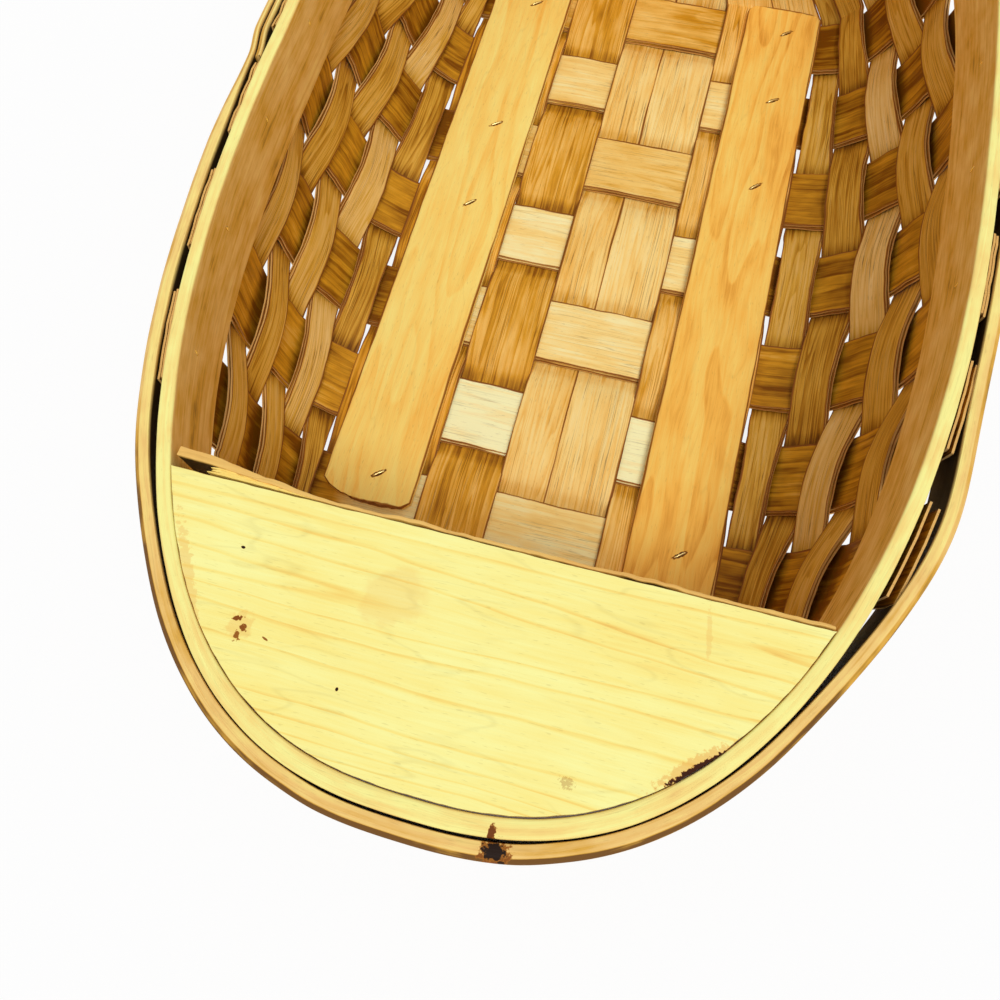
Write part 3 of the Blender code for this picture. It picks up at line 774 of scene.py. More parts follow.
@dataclass(frozen=True)
class WoodFinish:
    """Split or bent wood, with growth rings, fibres, pores, cut edges, stains and painted shade.

    Sizes are millimetres along and across the grain. Depths are shares of the way along the
    stops, or towards the colour of the lines. Bands are the two noise values between which a
    mark fades in. Noises give detail and roughness.
    """

    name: str
    stops: tuple[tuple[float, Colour], ...]
    ring_size: Pair = (220.0, 9.0)
    rings: float = 14.0
    ring_depth: float = 0.16
    ring_sharpness: float = 0.35
    ring_end: float = 0.93
    ring_middle: float = 0.25
    fibre_size: Pair = (26.0, 0.35)
    fibre_noise: Pair = (3.0, 0.62)
    fibre_depth: float = 0.16
    line_size: Pair = (34.0, 1.1)
    line_depth: float = 0.45
    line_middle: float = 0.52
    line_half: float = 0.03
    patch_size: Pair = (30.0, 14.0)
    patch_band: Pair = (0.34, 0.6)
    blotch_size: Pair = (55.0, 21.0)
    blotch_noise: Pair = (3.0, 0.6)
    blotch_depth: float = 0.18
    streak_size: Pair = (19.0, 1.5)
    streak_noise: Pair = (2.0, 0.6)
    streak_depth: float = 0.3
    swell_size: Pair = (42.0, 9.0)
    warp: float = 1.2
    pore_size: Pair = (2.6, 0.34)
    pore_band: Pair = (0.72, 0.8)
    pore_depth: float = 0.2
    roughness: float = 0.43
    fibre_roughness: float = 0.25
    shine: float = 0.12
    bump: float = 0.35
    bump_rise: float = 0.00035
    fibre_rise: float = 0.7
    mark_rise: float = -0.9
    brink_depth: float = 0.75
    brink_band: Pair = (-0.9, -0.2)
    brink_ragged: float = 1.6
    tuck_depth: float = 0.32
    tuck_stain: float = 0.7
    cut_depth: float = 0.85
    cut_band: Pair = (0.5, 0.8)
    cut_fibre: float = 0.45
    line_colour: Colour = UMBER
    cut_colour: Colour = paint(236, 188, 112)
    stains: tuple[StainAndShadeSpot, ...] = ()

    def material(self) -> Finish:
        """Build the finish as a material."""
        made, draw, shader = Sketch.of_material(self.name)
        straight, bent = self.maps(draw)
        fibre = bent.noise(self.fibre_size, *self.fibre_noise)
        patch = straight.noise(self.patch_size, 1.0)
        marks = self.marks(draw, straight, bent, patch)
        colour = draw.ramp(self.place(draw, straight, bent, fibre), self.stops)
        colour = self.worn(draw, draw.blend(marks, colour, self.line_colour), patch, fibre)
        for stain in self.stains:
            colour = stain.over(draw, colour)
        draw.join(colour, shader.inputs["Base Color"])
        sunk = draw.sum("MULTIPLY", marks, self.mark_rise)
        height = draw.sum("MULTIPLY_ADD", fibre, self.fibre_rise, sunk)
        draw.bumped(shader, height, self.bump, self.bump_rise)
        rough = draw.sum("MULTIPLY_ADD", fibre, self.fibre_roughness, self.roughness)
        draw.join(rough, shader.inputs["Roughness"])
        shader.inputs["Specular IOR Level"].default_value = self.shine
        return made

    def maps(self, draw: Sketch) -> tuple[GrainMap, GrainMap]:
        """Return the straight grain map, and the one that swells bend."""
        grain = draw.node("ShaderNodeUVMap", uv_map=GRAIN).outputs[0]
        parts = draw.node("ShaderNodeSeparateXYZ")
        draw.join(draw.scaled(grain, MILLIMETRES), parts.inputs[0])
        seed = draw.sum("MULTIPLY", draw.attribute("seed"), SEED_DEPTH)
        along = draw.sum("ADD", parts.outputs[0], draw.sum("MULTIPLY", seed, SEED_RUN))
        straight = GrainMap(draw, along, parts.outputs[1], seed)
        swell = draw.sum("SUBTRACT", straight.noise(self.swell_size, 2.0), 0.5)
        across = draw.sum("MULTIPLY_ADD", swell, self.warp, straight.across)
        return straight, GrainMap(draw, along, across, seed)

    def place(self, draw: Sketch, straight: GrainMap, bent: GrainMap, fibre: object) -> object:
        """Return the place along the stops: the piece's tone, moved by the figure and painted shade."""
        figure = bent.noise(self.ring_size, 1.0)
        saw = draw.sum("FRACT", draw.sum("MULTIPLY", figure, self.rings))
        rise = draw.range(saw, self.ring_sharpness, self.ring_end)
        late = draw.sum("MULTIPLY", rise, draw.range(saw, 1.0, self.ring_end))
        streak = bent.noise(self.streak_size, *self.streak_noise)
        blotch = straight.noise(self.blotch_size, *self.blotch_noise)
        tone = draw.attribute("tone")
        place = draw.sum("MULTIPLY_ADD", draw.attribute("tuck"), self.tuck_depth, tone)
        for value, depth, middle in (
            (late, self.ring_depth, self.ring_middle),
            (streak, self.streak_depth * 2, 0.5),
            (fibre, self.fibre_depth * 2, 0.5),
            (blotch, self.blotch_depth * 2, 0.5),
        ):
            moved = draw.sum("SUBTRACT", value, middle)
            place = draw.sum("MULTIPLY_ADD", moved, depth, place)
        return place

    def marks(self, draw: Sketch, straight: GrainMap, bent: GrainMap, patch: object) -> object:
        """Return how strongly the dark lines and pores show."""
        wave = bent.noise(self.line_size, 1.0)
        off = draw.sum("ABSOLUTE", draw.sum("SUBTRACT", wave, self.line_middle))
        near = draw.range(off, self.line_half, 0.0)
        lines = draw.sum("MULTIPLY", near, draw.range(patch, *self.patch_band))
        pore = draw.range(straight.noise(self.pore_size, 0.0), *self.pore_band)
        pores = draw.sum("MULTIPLY", pore, self.pore_depth)
        return draw.sum("MULTIPLY_ADD", lines, self.line_depth, pores, held=True)

    def worn(self, draw: Sketch, colour: object, patch: object, fibre: object) -> object:
        """Return a colour with dark brinks, cut wood and painted shade in tucks, gaps and covered
        faces.
        """
        uneven = draw.sum("SUBTRACT", patch, 0.5)
        brink = draw.sum("MULTIPLY_ADD", uneven, self.brink_ragged, draw.attribute("brink"))
        brink = draw.range(brink, *(BRINK_EDGE + away for away in self.brink_band))
        share = draw.sum("MULTIPLY", brink, self.brink_depth)
        colour = draw.warmed_then_darkened(share, colour, self.line_colour)
        share = draw.sum("MULTIPLY", draw.attribute("tuck"), self.tuck_depth * self.tuck_stain)
        colour = draw.blend(share, colour, self.line_colour)
        share = draw.sum("MULTIPLY", draw.range(fibre, *self.cut_band), self.cut_fibre)
        cut = draw.blend(share, self.cut_colour, self.line_colour)
        share = draw.sum("MULTIPLY", draw.attribute("cut"), self.cut_depth)
        # Painted shade: faces that are covered or face a gap go towards near-black
        return draw.blend(draw.attribute("shade"), draw.blend(share, colour, cut), SOOT_AND_SHADE)


@dataclass(frozen=True)
class WireFinish:
    """Plated steel wire with tarnish."""

    name: str
    bright: Colour = paint(250, 228, 156)
    dull: Colour = paint(112, 84, 44)
    spots_per_metre: float = 900.0
    spot_noise: Pair = (3.0, 0.65)
    dull_band: Pair = (0.5, 0.75)
    bump: float = 0.2
    bump_rise: float = 0.0001
    metallic: float = 0.9
    roughness: Pair = (0.25, 0.3)

    def material(self) -> Finish:
        """Build the finish as a material."""
        made, draw, shader = Sketch.of_material(self.name)
        place = draw.node("ShaderNodeTexCoord").outputs["Object"]
        spots = draw.noise(draw.scaled(place, self.spots_per_metre), *self.spot_noise)
        share = draw.range(spots, *self.dull_band)
        draw.join(draw.blend(share, self.bright, self.dull), shader.inputs["Base Color"])
        least, more = self.roughness
        draw.join(draw.sum("MULTIPLY_ADD", share, more, least), shader.inputs["Roughness"])
        shader.inputs["Metallic"].default_value = self.metallic
        draw.bumped(shader, spots, self.bump, self.bump_rise)
        return made


def finished(made: Piece, nodes: Iterable[str], finish: Finish) -> Piece:
    """Dress a finished piece and tell the frame what it stands for.

    Args:
        made: The piece.
        nodes: The solids that it stands for.
        finish: Its material.

    Returns:
        The same piece.
    """
    if not made.data.materials:
        made.data.materials.append(finish)
    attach(made, BODY)
    nodes = tuple(nodes)
    if nodes:
        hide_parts(*nodes)
    LOG.info("%s: %d faces for %s", made.name, len(made.data.polygons), ", ".join(nodes))
    return made


@dataclass
class NodeTool:
    """A geometry-node tree that is drawn once and used on many pieces."""

    tree: bpy.types.NodeTree | None = field(default=None, init=False)

    def start(self, name: str, output: str, **inputs: str) -> Sketch:
        """Start the tree.

        Args:
            name: Name of the tree.
            output: Name of the geometry that it hands over.
            inputs: Kind of each input by its name, with _ for a blank.

        Returns:
            The sketch of the tree.
        """
        self.tree = bpy.data.node_groups.new(name, "GeometryNodeTree")
        plan = self.tree.interface
        for key, kind in {**inputs, "Finish": "Material"}.items():
            title = key.replace("_", " ")
            plan.new_socket(title, in_out="INPUT", socket_type=f"NodeSocket{kind}")
        plan.new_socket(output, in_out="OUTPUT", socket_type="NodeSocketGeometry")
        return Sketch(self.tree)

    def hand_over(self, draw: Sketch, geometry: object, finish: object) -> None:
        """End the tree with geometry made real and dressed in its finish."""
        whole = draw.node("GeometryNodeRealizeInstances")
        draw.join(geometry, whole.inputs[0])
        dressed = draw.node("GeometryNodeSetMaterial")
        draw.feed(dressed, Geometry=whole.outputs[0], Material=finish)
        draw.join(dressed.outputs[0], draw.node("NodeGroupOutput").inputs[0])

    def build(self) -> None:
        """Draw the tree."""
        raise NotImplementedError

    def use(self, blank: Piece, smooth_degrees: float, **values: object) -> Piece:
        """Run the tree on an object and keep what it makes as a plain mesh.

        Args:
            blank: The object.
            smooth_degrees: Edges sharper than this stay sharp.
            values: The tree's inputs, in lower case with _ for a blank.

        Returns:
            The same object.
        """
        if not self.tree:
            self.build()
        change = blank.modifiers.new("shaping", "NODES")
        change.node_group = self.tree
        for item in self.tree.interface.items_tree:
            key = item.name.lower().replace(" ", "_")
            if item.in_out == "INPUT" and key in values:
                change[item.identifier] = values[key]
        depsgraph = bpy.context.evaluated_depsgraph_get()
        mesh = bpy.data.meshes.new_from_object(
            blank.evaluated_get(depsgraph), preserve_all_data_layers=True, depsgraph=depsgraph
        )
        old = blank.data
        blank.modifiers.clear()
        blank.data = mesh
        mesh.name = blank.name
        bpy.data.meshes.remove(old)
        mesh.shade_smooth()
        mesh.set_sharp_from_angle(angle=math.radians(smooth_degrees))
        return blank


@dataclass
class SplintPress(NodeTool):
    """Presses a curved sheet into a splint of two thin plies.

    Attributes:
        thickness: Thickness of one ply.
        apart: Gap between the plies.
        cockle: Reach of the uneven swelling of the surface.
        edge_wave: Reach of the unevenness of the long edges.
    """

    thickness: float
    apart: float
    cockle: float
    edge_wave: float
    swells_per_metre: float = 34.0
    waves_per_metre: float = 120.0
    edge_middle: float = 0.62
    tuck_band: Pair = (0.0, -0.75)
    weld: float = 0.000001
    seed_step: float = 3.7
    side_step: float = 11.3

    def build(self) -> None:
        """Draw the tree."""
        numbers = ("Thickness", "Apart", "Cockle", "Edge_Wave", "Slip", "Seed")
        kinds = {"Sheet": "Geometry", **dict.fromkeys(numbers, "Float")}
        draw = self.start("splint press", "Splint", **kinds)
        source = draw.node("NodeGroupInput").outputs
        plies = [self.one_ply(draw, source, side) for side in (-1, 1)]
        self.hand_over(draw, draw.gathered(*plies), source["Finish"])

    def one_ply(self, draw: Sketch, source: object, side: int) -> object:
        """Draw the nodes of one ply and return its geometry."""
        position = draw.node("GeometryNodeInputPosition").outputs[0]
        normal = draw.node("GeometryNodeInputNormal").outputs[0]
        seed = draw.sum("MULTIPLY_ADD", source["Seed"], self.seed_step, self.side_step * side)
        shift = draw.triple(seed, seed, seed)
        broad = draw.vector_sum("ADD", draw.scaled(position, self.swells_per_metre), shift)
        fine = draw.vector_sum("ADD", draw.scaled(position, self.waves_per_metre), shift)
        swell = draw.sum("SUBTRACT", draw.noise(broad, 1.0), 0.5)
        swell = draw.sum("MULTIPLY", swell, source["Cockle"])
        half = draw.sum("MULTIPLY", draw.sum("ADD", source["Apart"], draw.kept("splay")), 0.5)
        low = half
        if side < 0:
            low = draw.sum("SUBTRACT", draw.sum("MULTIPLY", half, -1.0), source["Thickness"])
        lift = draw.scaled(normal, draw.sum("ADD", low, swell))
        edge = draw.sum("SUBTRACT", draw.noise(fine, 2.0), self.edge_middle)
        edge = draw.sum("MULTIPLY", edge, source["Edge Wave"])
        reach = draw.scaled(draw.kept("reach", "FLOAT_VECTOR"), edge)
        if side < 0:
            slipped = draw.scaled(draw.kept("sideways", "FLOAT_VECTOR"), source["Slip"])
            lift = draw.vector_sum("ADD", lift, slipped)
        # Painted shade: each ply darkens where it tucks under a crossing splint
        standing = draw.sum("MULTIPLY", draw.kept("standing"), float(side))
        tuck = draw.range(standing, *self.tuck_band)
        tucked = draw.store("tuck", "POINT", tuck, Geometry=source["Sheet"])
        moved = draw.node("GeometryNodeSetPosition")
        draw.feed(moved, Geometry=tucked, Offset=draw.vector_sum("ADD", lift, reach))
        grown = draw.node("GeometryNodeExtrudeMesh", mode="FACES")
        draw.feed(grown, Mesh=moved.outputs[0], Offset_Scale=source["Thickness"], Individual=False)
        body, sides = grown.outputs["Mesh"], grown.outputs["Side"]
        marked = draw.store("cut", "FACE", 1.0, Geometry=body, Selection=sides)
        under = draw.node("GeometryNodeFlipFaces")
        draw.join(moved.outputs[0], under.inputs[0])
        closed = draw.node("GeometryNodeMergeByDistance")
        ply = draw.gathered(marked, under.outputs[0])
        return draw.feed(closed, Geometry=ply, Distance=self.weld).outputs[0]

    def press(self, name: str, sheet: Draft, seed: int, finish: Finish, slip: float) -> Piece:
        """Press one sheet.

        Args:
            name: Name of the piece.
            sheet: The curved sheet.
            seed: Fixed seed of its unevenness.
            finish: The piece's material.
            slip: How far the outer ply lies sideways of the inner one.

        Returns:
            The splint as a plain mesh.
        """
        return self.use(
            sheet.object(name), SMOOTH_DEGREES, thickness=self.thickness, apart=self.apart,
            cockle=self.cockle, edge_wave=self.edge_wave, slip=slip, seed=seed, finish=finish,
        )


def splint_sheet(
    grid: Array, tone: Array | float, seed: float, standing: Array, splay: Array | float = 0.0
) -> Draft:
    """Turn a grid of a splint's middle surface into a sheet ready for pressing.

    Args:
        grid: Points shaped (rows along, columns across, 3).
        tone: Tone of the wood, for the piece or for each row.
        seed: Seed of its figure.
        standing: From -1 where a row passes under what crosses it to 1 where it passes over.
        splay: Extra gap between the plies, for the piece or for each row.

    Returns:
        The sheet, with its values kept on the points.
    """
    rows, columns = grid.shape[:2]
    middle = grid[:, columns // 2]
    along = running(np.linalg.norm(np.diff(middle, axis=0), axis=1))
    across = running(np.linalg.norm(np.diff(grid, axis=1), axis=2))
    place = np.linspace(-1, 1, columns)
    sideways = unit(np.gradient(grid, axis=1))
    outwards = sideways * (np.sign(place) * np.abs(place) ** 3)[None, :, None]
    inset = MILLIMETRES * np.minimum(across, across[:, -1:] - across)
    by_row = [
        np.broadcast_to(np.reshape(value, (-1, 1)), (rows, columns)).ravel()
        for value in (tone, splay, standing)
    ]
    sheet = Draft.sheet(grid, along, across)
    sheet.keep(
        tone=by_row[0], seed=seed, brink=(BRINK_EDGE - inset).ravel(),
        sideways=sideways.reshape(-1, 3), reach=outwards.reshape(-1, 3),
        splay=by_row[1], standing=by_row[2],
    )
    return sheet


def face_tones(
    section: Array, top: Array, inner: float, outer: float, upper: Array | float
) -> Array:
    """Return a hoop's tone: darker on its faces than on its top edge.

    Args:
        section: Sections of (offset, drop) pairs, shaped (stations, corners, 2).
        top: Drop of the top edge at each station.
        inner: Tone of the inner face.
        outer: Tone of the outer face.
        upper: Tone of the top edge, for the hoop or for each station.

    Returns:
        One tone for each point, shaped (stations, corners).
    """
    middle = section[..., 0].mean(axis=1, keepdims=True)
    down = smooth_step((section[..., 1] - top[:, None] - TONE_BAND[0]) / TONE_BAND[1])
    return between(upper, np.where(section[..., 0] < middle, inner, outer), down)


def hidden_shade(
    section: Array, top: Array, foot: float, outward: bool, rows: Array | bool = True
) -> Array:
    """Return how dark a face is where another piece covers it.

    Args:
        section: Sections of (offset, drop) pairs, shaped (stations, corners, 2).
        top: Drop of the top edge at each station.
        foot: Drop at which the cover ends.
        outward: Whether the covered face is the outer one.
        rows: Which stations are covered.

    Returns:
        One darkness for each point.
    """
    middle = section[..., 0].mean(axis=1, keepdims=True)
    covered = (section[..., 0] > middle) == outward
    down = smooth_step((section[..., 1] - top[:, None] - COVER_BAND[0]) / COVER_BAND[1])
    inside = section[..., 1] < foot
    return (COVER_SHADE * down * covered * inside * rows).ravel()


def swept(points: Array, normals: Array, section: Array, top: float) -> Array:
    """Place sections of (offset, drop) pairs along an outline.

    Args:
        points: Outline points, shaped (stations, 2).
        normals: Outward normals there.
        section: Shaped (stations, corners, 2).
        top: Height from which the drop is measured.

    Returns:
        Rings shaped (stations, corners, 3).
    """
    flat = points[:, None, :] + normals[:, None, :] * section[..., :1]
    return np.concatenate((flat, top - section[..., 1:]), axis=-1)


@dataclass
class InnerHoop:
    """The tall inner hoop.

    Drops are measured from the rim's top. A row gives a face points where its shade ends,
    and a wave is how an edge or a face wanders.
    """

    rim: RimOutline
    shape: WovenShape
    thickness: float = 0.0040
    tip_thickness: float = 0.0048
    tip_length: float = 0.038
    joint_setback: float = 0.050
    joint_gap: float = 0.0003
    arris: float = 0.0007
    stations: int = 900
    slack: float = 0.0001
    top_drop: float = 0.00012
    foot_rise: float = 0.0003
    outer_rows: tuple[float, ...] = (0.0185, 0.0155, 0.0024)
    inner_row: float = 0.0022
    hoop_foot: float = 0.017
    board_foot: float = 0.006
    board_y: float = 0.1575
    tones: Triple = (0.62, 0.5, 0.1)
    seed: float = 3.0
    outer_wave: Wave = Wave(0.11, 0.0001, 3)
    inner_wave: Wave = Wave(0.19, 0.00015, 4)
    top_wave: Wave = Wave(0.13, 0.0001, 5)
    foot_wave: Wave = Wave(0.21, 0.0003, 6)

    def depth(self, points: Array) -> Array:
        """Return the hoop's thickness beside points of the outline."""
        share = self.rim.tipness(points, self.tip_length)
        return between(self.thickness, self.tip_thickness, share)

    def piece(self, finish: Finish) -> Piece:
        """Make the hoop."""
        rim, shape = self.rim, self.shape
        start = rim.side_length(rim.half_length - self.joint_setback, Side.RIGHT)
        run = rim.perimeter - self.joint_gap
        lengths = start + self.joint_gap / 2 + np.linspace(0, run, self.stations + 1)
        points, normals = rim.at(lengths)
        deep = self.depth(points) - self.slack + self.outer_wave.at(lengths)
        near = self.inner_wave.at(lengths)
        top = self.top_drop + self.top_wave.at(lengths)
        foot = shape.hoop_height - self.foot_rise + self.foot_wave.at(lengths)
        outer_face = ((deep, drop) for drop in self.outer_rows)
        corners = corners_of(
            (near, foot), (deep, foot), *outer_face, (deep, top),
            (near, top), (near, self.inner_row),
        )
        section = rounded(corners, self.arris, 3)
        made = Draft.skin(swept(points, normals, section, shape.rim_z), lengths)
        shade = hidden_shade(section, top, self.hoop_foot, outward=True)
        boarded = (np.abs(points[:, 1]) > self.board_y)[:, None]
        inner = hidden_shade(section, top, self.board_foot, outward=False, rows=boarded)
        tones = face_tones(section, top, *self.tones).ravel()
        made.keep(tone=tones, seed=self.seed, shade=np.maximum(shade, inner))
        return finished(made.closed("bent_inner_hoop"), ("inner_hoop",), finish)


@dataclass
class OuterHoop:
    """The low outer hoop, whose thinned ends lap on the left.

    The spring is where the hoop stands off on the right, and the squeeze is how much closer
    it lies beside the near tip.
    """

    rim: RimOutline
    shape: WovenShape
    inner: InnerHoop
    thickness: float = 0.0041
    tip_thickness: float = 0.0045
    height: float = 0.016
    bevel_width: float = 0.0015
    bevel_depth: float = 0.0009
    bevel_tone: float = 1.04
    bevel_slack: float = 0.0001
    side_gap: float = 0.0021
    tip_gap: float = 0.0005
    closing_length: float = 0.040
    spring: float = 0.0031
    spring_setback: float = 0.0955
    spring_length: float = 0.025
    ply: float = 0.0022
    lap_setback: float = 0.0005
    lap_length: float = 0.130
    sink: float = 0.0018
    sink_length: float = 0.013
    ease_length: float = 0.035
    seat: float = 0.0003
    arris: float = 0.0004
    stations: int = 900
    squeeze: float = 0.0003
    squeeze_from: Pair = (0.02, -0.185)
    squeeze_run: Pair = (0.012, 0.02)
    near_out: float = 0.00008
    far_in: float = 0.0002
    top_drop: float = 0.0002
    foot_rise: float = 0.0004
    inner_row: float = 0.0022
    cover_foot: float = 0.02
    face_tone: float = 0.6
    outer_tone: float = 0.66
    top_tones: Pair = (0.28, 0.2)
    tip_from: float = 0.12
    tip_run: float = 0.07
    seed: float = 8.0
    near_wave: Wave = Wave(0.17, 0.00008, 7)
    far_wave: Wave = Wave(0.23, 0.0001, 8)
    top_wave: Wave = Wave(0.15, 0.0002, 9)
    foot_wave: Wave = Wave(0.14, 0.0004, 10)

    def gap(self, points: Array) -> Array:
        """Return the gap between the hoops beside points of the outline."""
        share = (np.abs(points[:, 1]) - self.shape.body_end) / self.closing_length
        gap = between(self.side_gap, self.tip_gap, smooth_step(share))
        away = (points[:, 1] + self.rim.half_length - self.spring_setback) / self.spring_length
        return gap + np.where(points[:, 0] > 0, self.spring * np.exp(-away * away), 0.0)

    def start(self) -> float:
        """Return the length round the rim at which the hoop begins."""
        return self.rim.side_length(-self.shape.pitch / 2 - self.lap_setback, Side.LEFT)

    def layer(self, travelled: Array) -> tuple[Array, Array, Array, Array]:
        """Return points, normals, near offsets and thicknesses along the hoop."""
        points, normals = self.rim.at(self.start() - travelled)
        past = travelled - self.rim.perimeter
        closing = smooth_step(1 + past / self.ease_length)
        sunk = self.sink * (1 - smooth_step(travelled / self.sink_length))
        sunk_under = self.sink * (1 - smooth_step(np.maximum(past, 0) / self.sink_length))
        extra = (self.ply + self.seat - sunk_under) * closing
        near = self.inner.depth(points) + self.gap(points) + extra - sunk
        starting = smooth_step((travelled - self.lap_length) / self.ease_length)
        body = np.minimum(starting, smooth_step(-past / self.ease_length))
        share = self.rim.tipness(points, self.inner.tip_length)
        full = between(self.thickness, self.tip_thickness, share)
        return points, normals, near, between(self.ply, full, body)

    def piece(self, finish: Finish) -> Piece:
        """Make the hoop."""
        run = self.rim.perimeter + self.lap_length
        travelled = np.linspace(0, run, self.stations + 1)
        points, normals, near, thick = self.layer(travelled)
        tight = smooth_step((np.abs(points[:, 0]) - self.squeeze_from[0]) / self.squeeze_run[0])
        tight = tight * smooth_step((self.squeeze_from[1] - points[:, 1]) / self.squeeze_run[1])
        near = near + self.near_out + self.near_wave.at(travelled) - self.squeeze * tight
        far = near + thick - self.far_in + self.far_wave.at(travelled)
        top = self.top_drop + self.top_wave.at(travelled)
        foot = self.height - self.foot_rise + self.foot_wave.at(travelled)
        flat = far - self.bevel_width
        corners = corners_of(
            (near, foot), (flat, foot), (far, foot - self.bevel_depth),
            (far, top + self.bevel_depth), (flat, top), (near, top), (near, self.inner_row),
        )
        section = rounded(corners, self.arris, 2)
        made = Draft.skin(swept(points, normals, section, self.shape.rim_z), travelled)
        at_tip = smooth_step((np.abs(points[:, 1]) - self.tip_from) / self.tip_run)[:, None]
        upper = self.top_tones[0] + self.top_tones[1] * at_tip
        tones = face_tones(section, top, self.face_tone, self.outer_tone, upper)
        bevelled = section[..., 0] > flat[:, None] + self.bevel_slack
        bevelled &= section[..., 1] < top[:, None] + self.bevel_depth + self.arris
        tones = np.where(bevelled, between(self.face_tone, self.bevel_tone, at_tip), tones)
        shade = hidden_shade(section, top, self.cover_foot, outward=False)
        made.keep(tone=tones.ravel(), seed=self.seed, shade=shade)
        return finished(made.closed("bent_outer_hoop"), ("outer_hoop",), finish)


@dataclass(frozen=True)
class Strand:
    """One lengthwise splint as laid out across the body."""

    name: str
    low: float
    high: float
    above_near: bool
    on_wall: bool


@dataclass
class LengthwiseSplints:
    """Floor strips and side weavers, woven over and under the ribs.

    The tones go from left to right, and a trim narrows one edge of a splint.
    """

    shape: WovenShape
    weaver_press: SplintPress
    strip_press: SplintPress
    strip_shares: tuple[float, ...] = (0.1358, 0.1391, 0.1722, 0.1172, 0.1563, 0.1397, 0.1397)
    strips_above: tuple[bool, ...] = (False, False, True, False, False, True, True)
    strip_overhang: float = 0.0025
    weavers: int = 5
    strip_height: float = 0.00205
    strip_flatness: float = 2.4
    weaver_height: float = 0.0033
    chord_offset: float = 0.00085
    chord_overlap: float = 0.0020
    chord_run: float = 0.02
    edge_lap: float = 0.0003
    step_down: float = 0.00025
    slip: float = 0.0006
    wall_edge_gap: float = 0.0004
    cup: float = 0.00025
    columns: int = 8
    step: float = 0.0017
    lowest: float = 0.00095
    left_tones: tuple[float, ...] = (0.5, 0.64, 0.54, 0.38, 0.7)
    strip_tones: tuple[float, ...] = (0.82, 0.7, 0.7, 0.46, 0.34, 0.55, 0.5)
    right_tones: tuple[float, ...] = (0.56, 0.7, 0.33, 0.58, 0.6)
    trims: dict[str, Pair] = field(
        default_factory=lambda: {"right_weaver_1": (0.0013, 0.0), "left_weaver_1": (0.0, 0.0011)}
    )

    def layout(self) -> list[Strand]:
        """Return the splints from left to right."""
        shape, strands = self.shape, []
        edge = shape.wall_edge(Side.LEFT)

        def lay(name: str, width: float, above: bool, on_wall: bool) -> None:
            """Lay one splint beside the last."""
            nonlocal edge
            strands.append(Strand(name, edge, edge + width, above, on_wall))
            edge += width

        left = shape.floor_left - self.strip_overhang
        width = (left - edge) / self.weavers
        for number in range(self.weavers, 0, -1):
            lay(f"left_weaver_{number}", width, number % 2 == 1, True)
        floor = shape.floor_right - left
        for number, (share, above) in enumerate(zip(self.strip_shares, self.strips_above), 1):
            lay(f"floor_strip_{number}", floor * share, above, False)
        width = (shape.wall_edge(Side.RIGHT) - edge) / self.weavers
        for number in range(1, self.weavers + 1):
            lay(f"right_weaver_{number}", width, number % 2 == 0, True)
        return strands

    def weave(self, travel: Array, strand: Strand) -> Array:
        """Return how far a splint stands off the ribs' surface along its length."""
        shape, flatness = self.shape, self.strip_flatness
        past = np.abs(travel) - shape.half_span
        inside = np.cos(math.pi * (travel + shape.half_span) / shape.pitch)
        outside = np.cos(math.pi * np.clip(past, 0, shape.pitch / 2) / shape.pitch)
        swing = np.where(past > 0, outside, inside)
        if strand.on_wall:
            height = self.weaver_height * swing
        else:
            height = self.strip_height * np.tanh(flatness * swing) / math.tanh(flatness)
        kept = self.chord_offset * smooth_step(past / self.chord_run)
        height = np.where(past > 0, np.hypot(height, kept), height)
        return height if strand.above_near else -height

    def pieces(self, finishes: dict[Slot, Finish]) -> list[Piece]:
        """Make every floor strip and weaver."""
        strands = self.layout()
        tones = self.left_tones + self.strip_tones + self.right_tones
        made = []
        for index, (strand, tone) in enumerate(zip(strands, tones)):
            overlaps = []
            for other in (index - 1, index + 1):
                crossed = 0 <= other < len(strands)
                crossed = crossed and strands[other].above_near != strand.above_near
                overlaps.append(self.chord_overlap if crossed else 0.0)
            sheet = self.sheet(strand, overlaps, index, tone)
            slot, press, slip = Slot.STRIP, self.strip_press, 0.0
            if strand.on_wall:
                slot, press = Slot.WEAVER, self.weaver_press
                slip = math.copysign(self.slip, index - len(strands) / 2)
            piece = press.press(f"{strand.name}_splint", sheet, index, finishes[slot], slip)
            made.append(finished(piece, (strand.name,), finishes[slot]))
        return made

    def sheet(self, strand: Strand, overlaps: Sequence[float], seed: int, tone: float) -> Draft:
        """Return the middle surface of one splint."""
        shape = self.shape
        reach = shape.body_end + shape.end_run + shape.chord_top - shape.chord_foot
        travel = np.linspace(-reach, reach, int(2 * reach / self.step))
        shares = np.linspace(0, 1, self.columns + 1)
        gap = self.wall_edge_gap if strand.on_wall else -2 * self.edge_lap
        width = strand.high - strand.low
        trims = self.trims.get(strand.name, (0.0, 0.0))
        places = strand.low + gap / 2 + trims[0] + (width - gap - sum(trims)) * shares
        spreads = np.interp(shares, (0, 1), (-overlaps[0], overlaps[1]))
        grid = shape.lengthwise(travel[:, None], places[None, :], spreads[None, :])
        normals = grid_normals(grid)
        cup = self.cup * (1 - (2 * shares - 1) ** 2)
        height = self.weave(travel, strand)
        # Standing sets the painted shade where the splint tucks under a rib
        standing = height / (self.weaver_height if strand.on_wall else self.strip_height)
        if not strand.on_wall:
            height = height - self.step_down * (seed % 2)
        grid = grid + normals * (height[:, None] + cup[None, :])[..., None]
        grid[..., 2] = np.maximum(grid[..., 2], self.lowest)
        return splint_sheet(grid, tone, seed, standing)


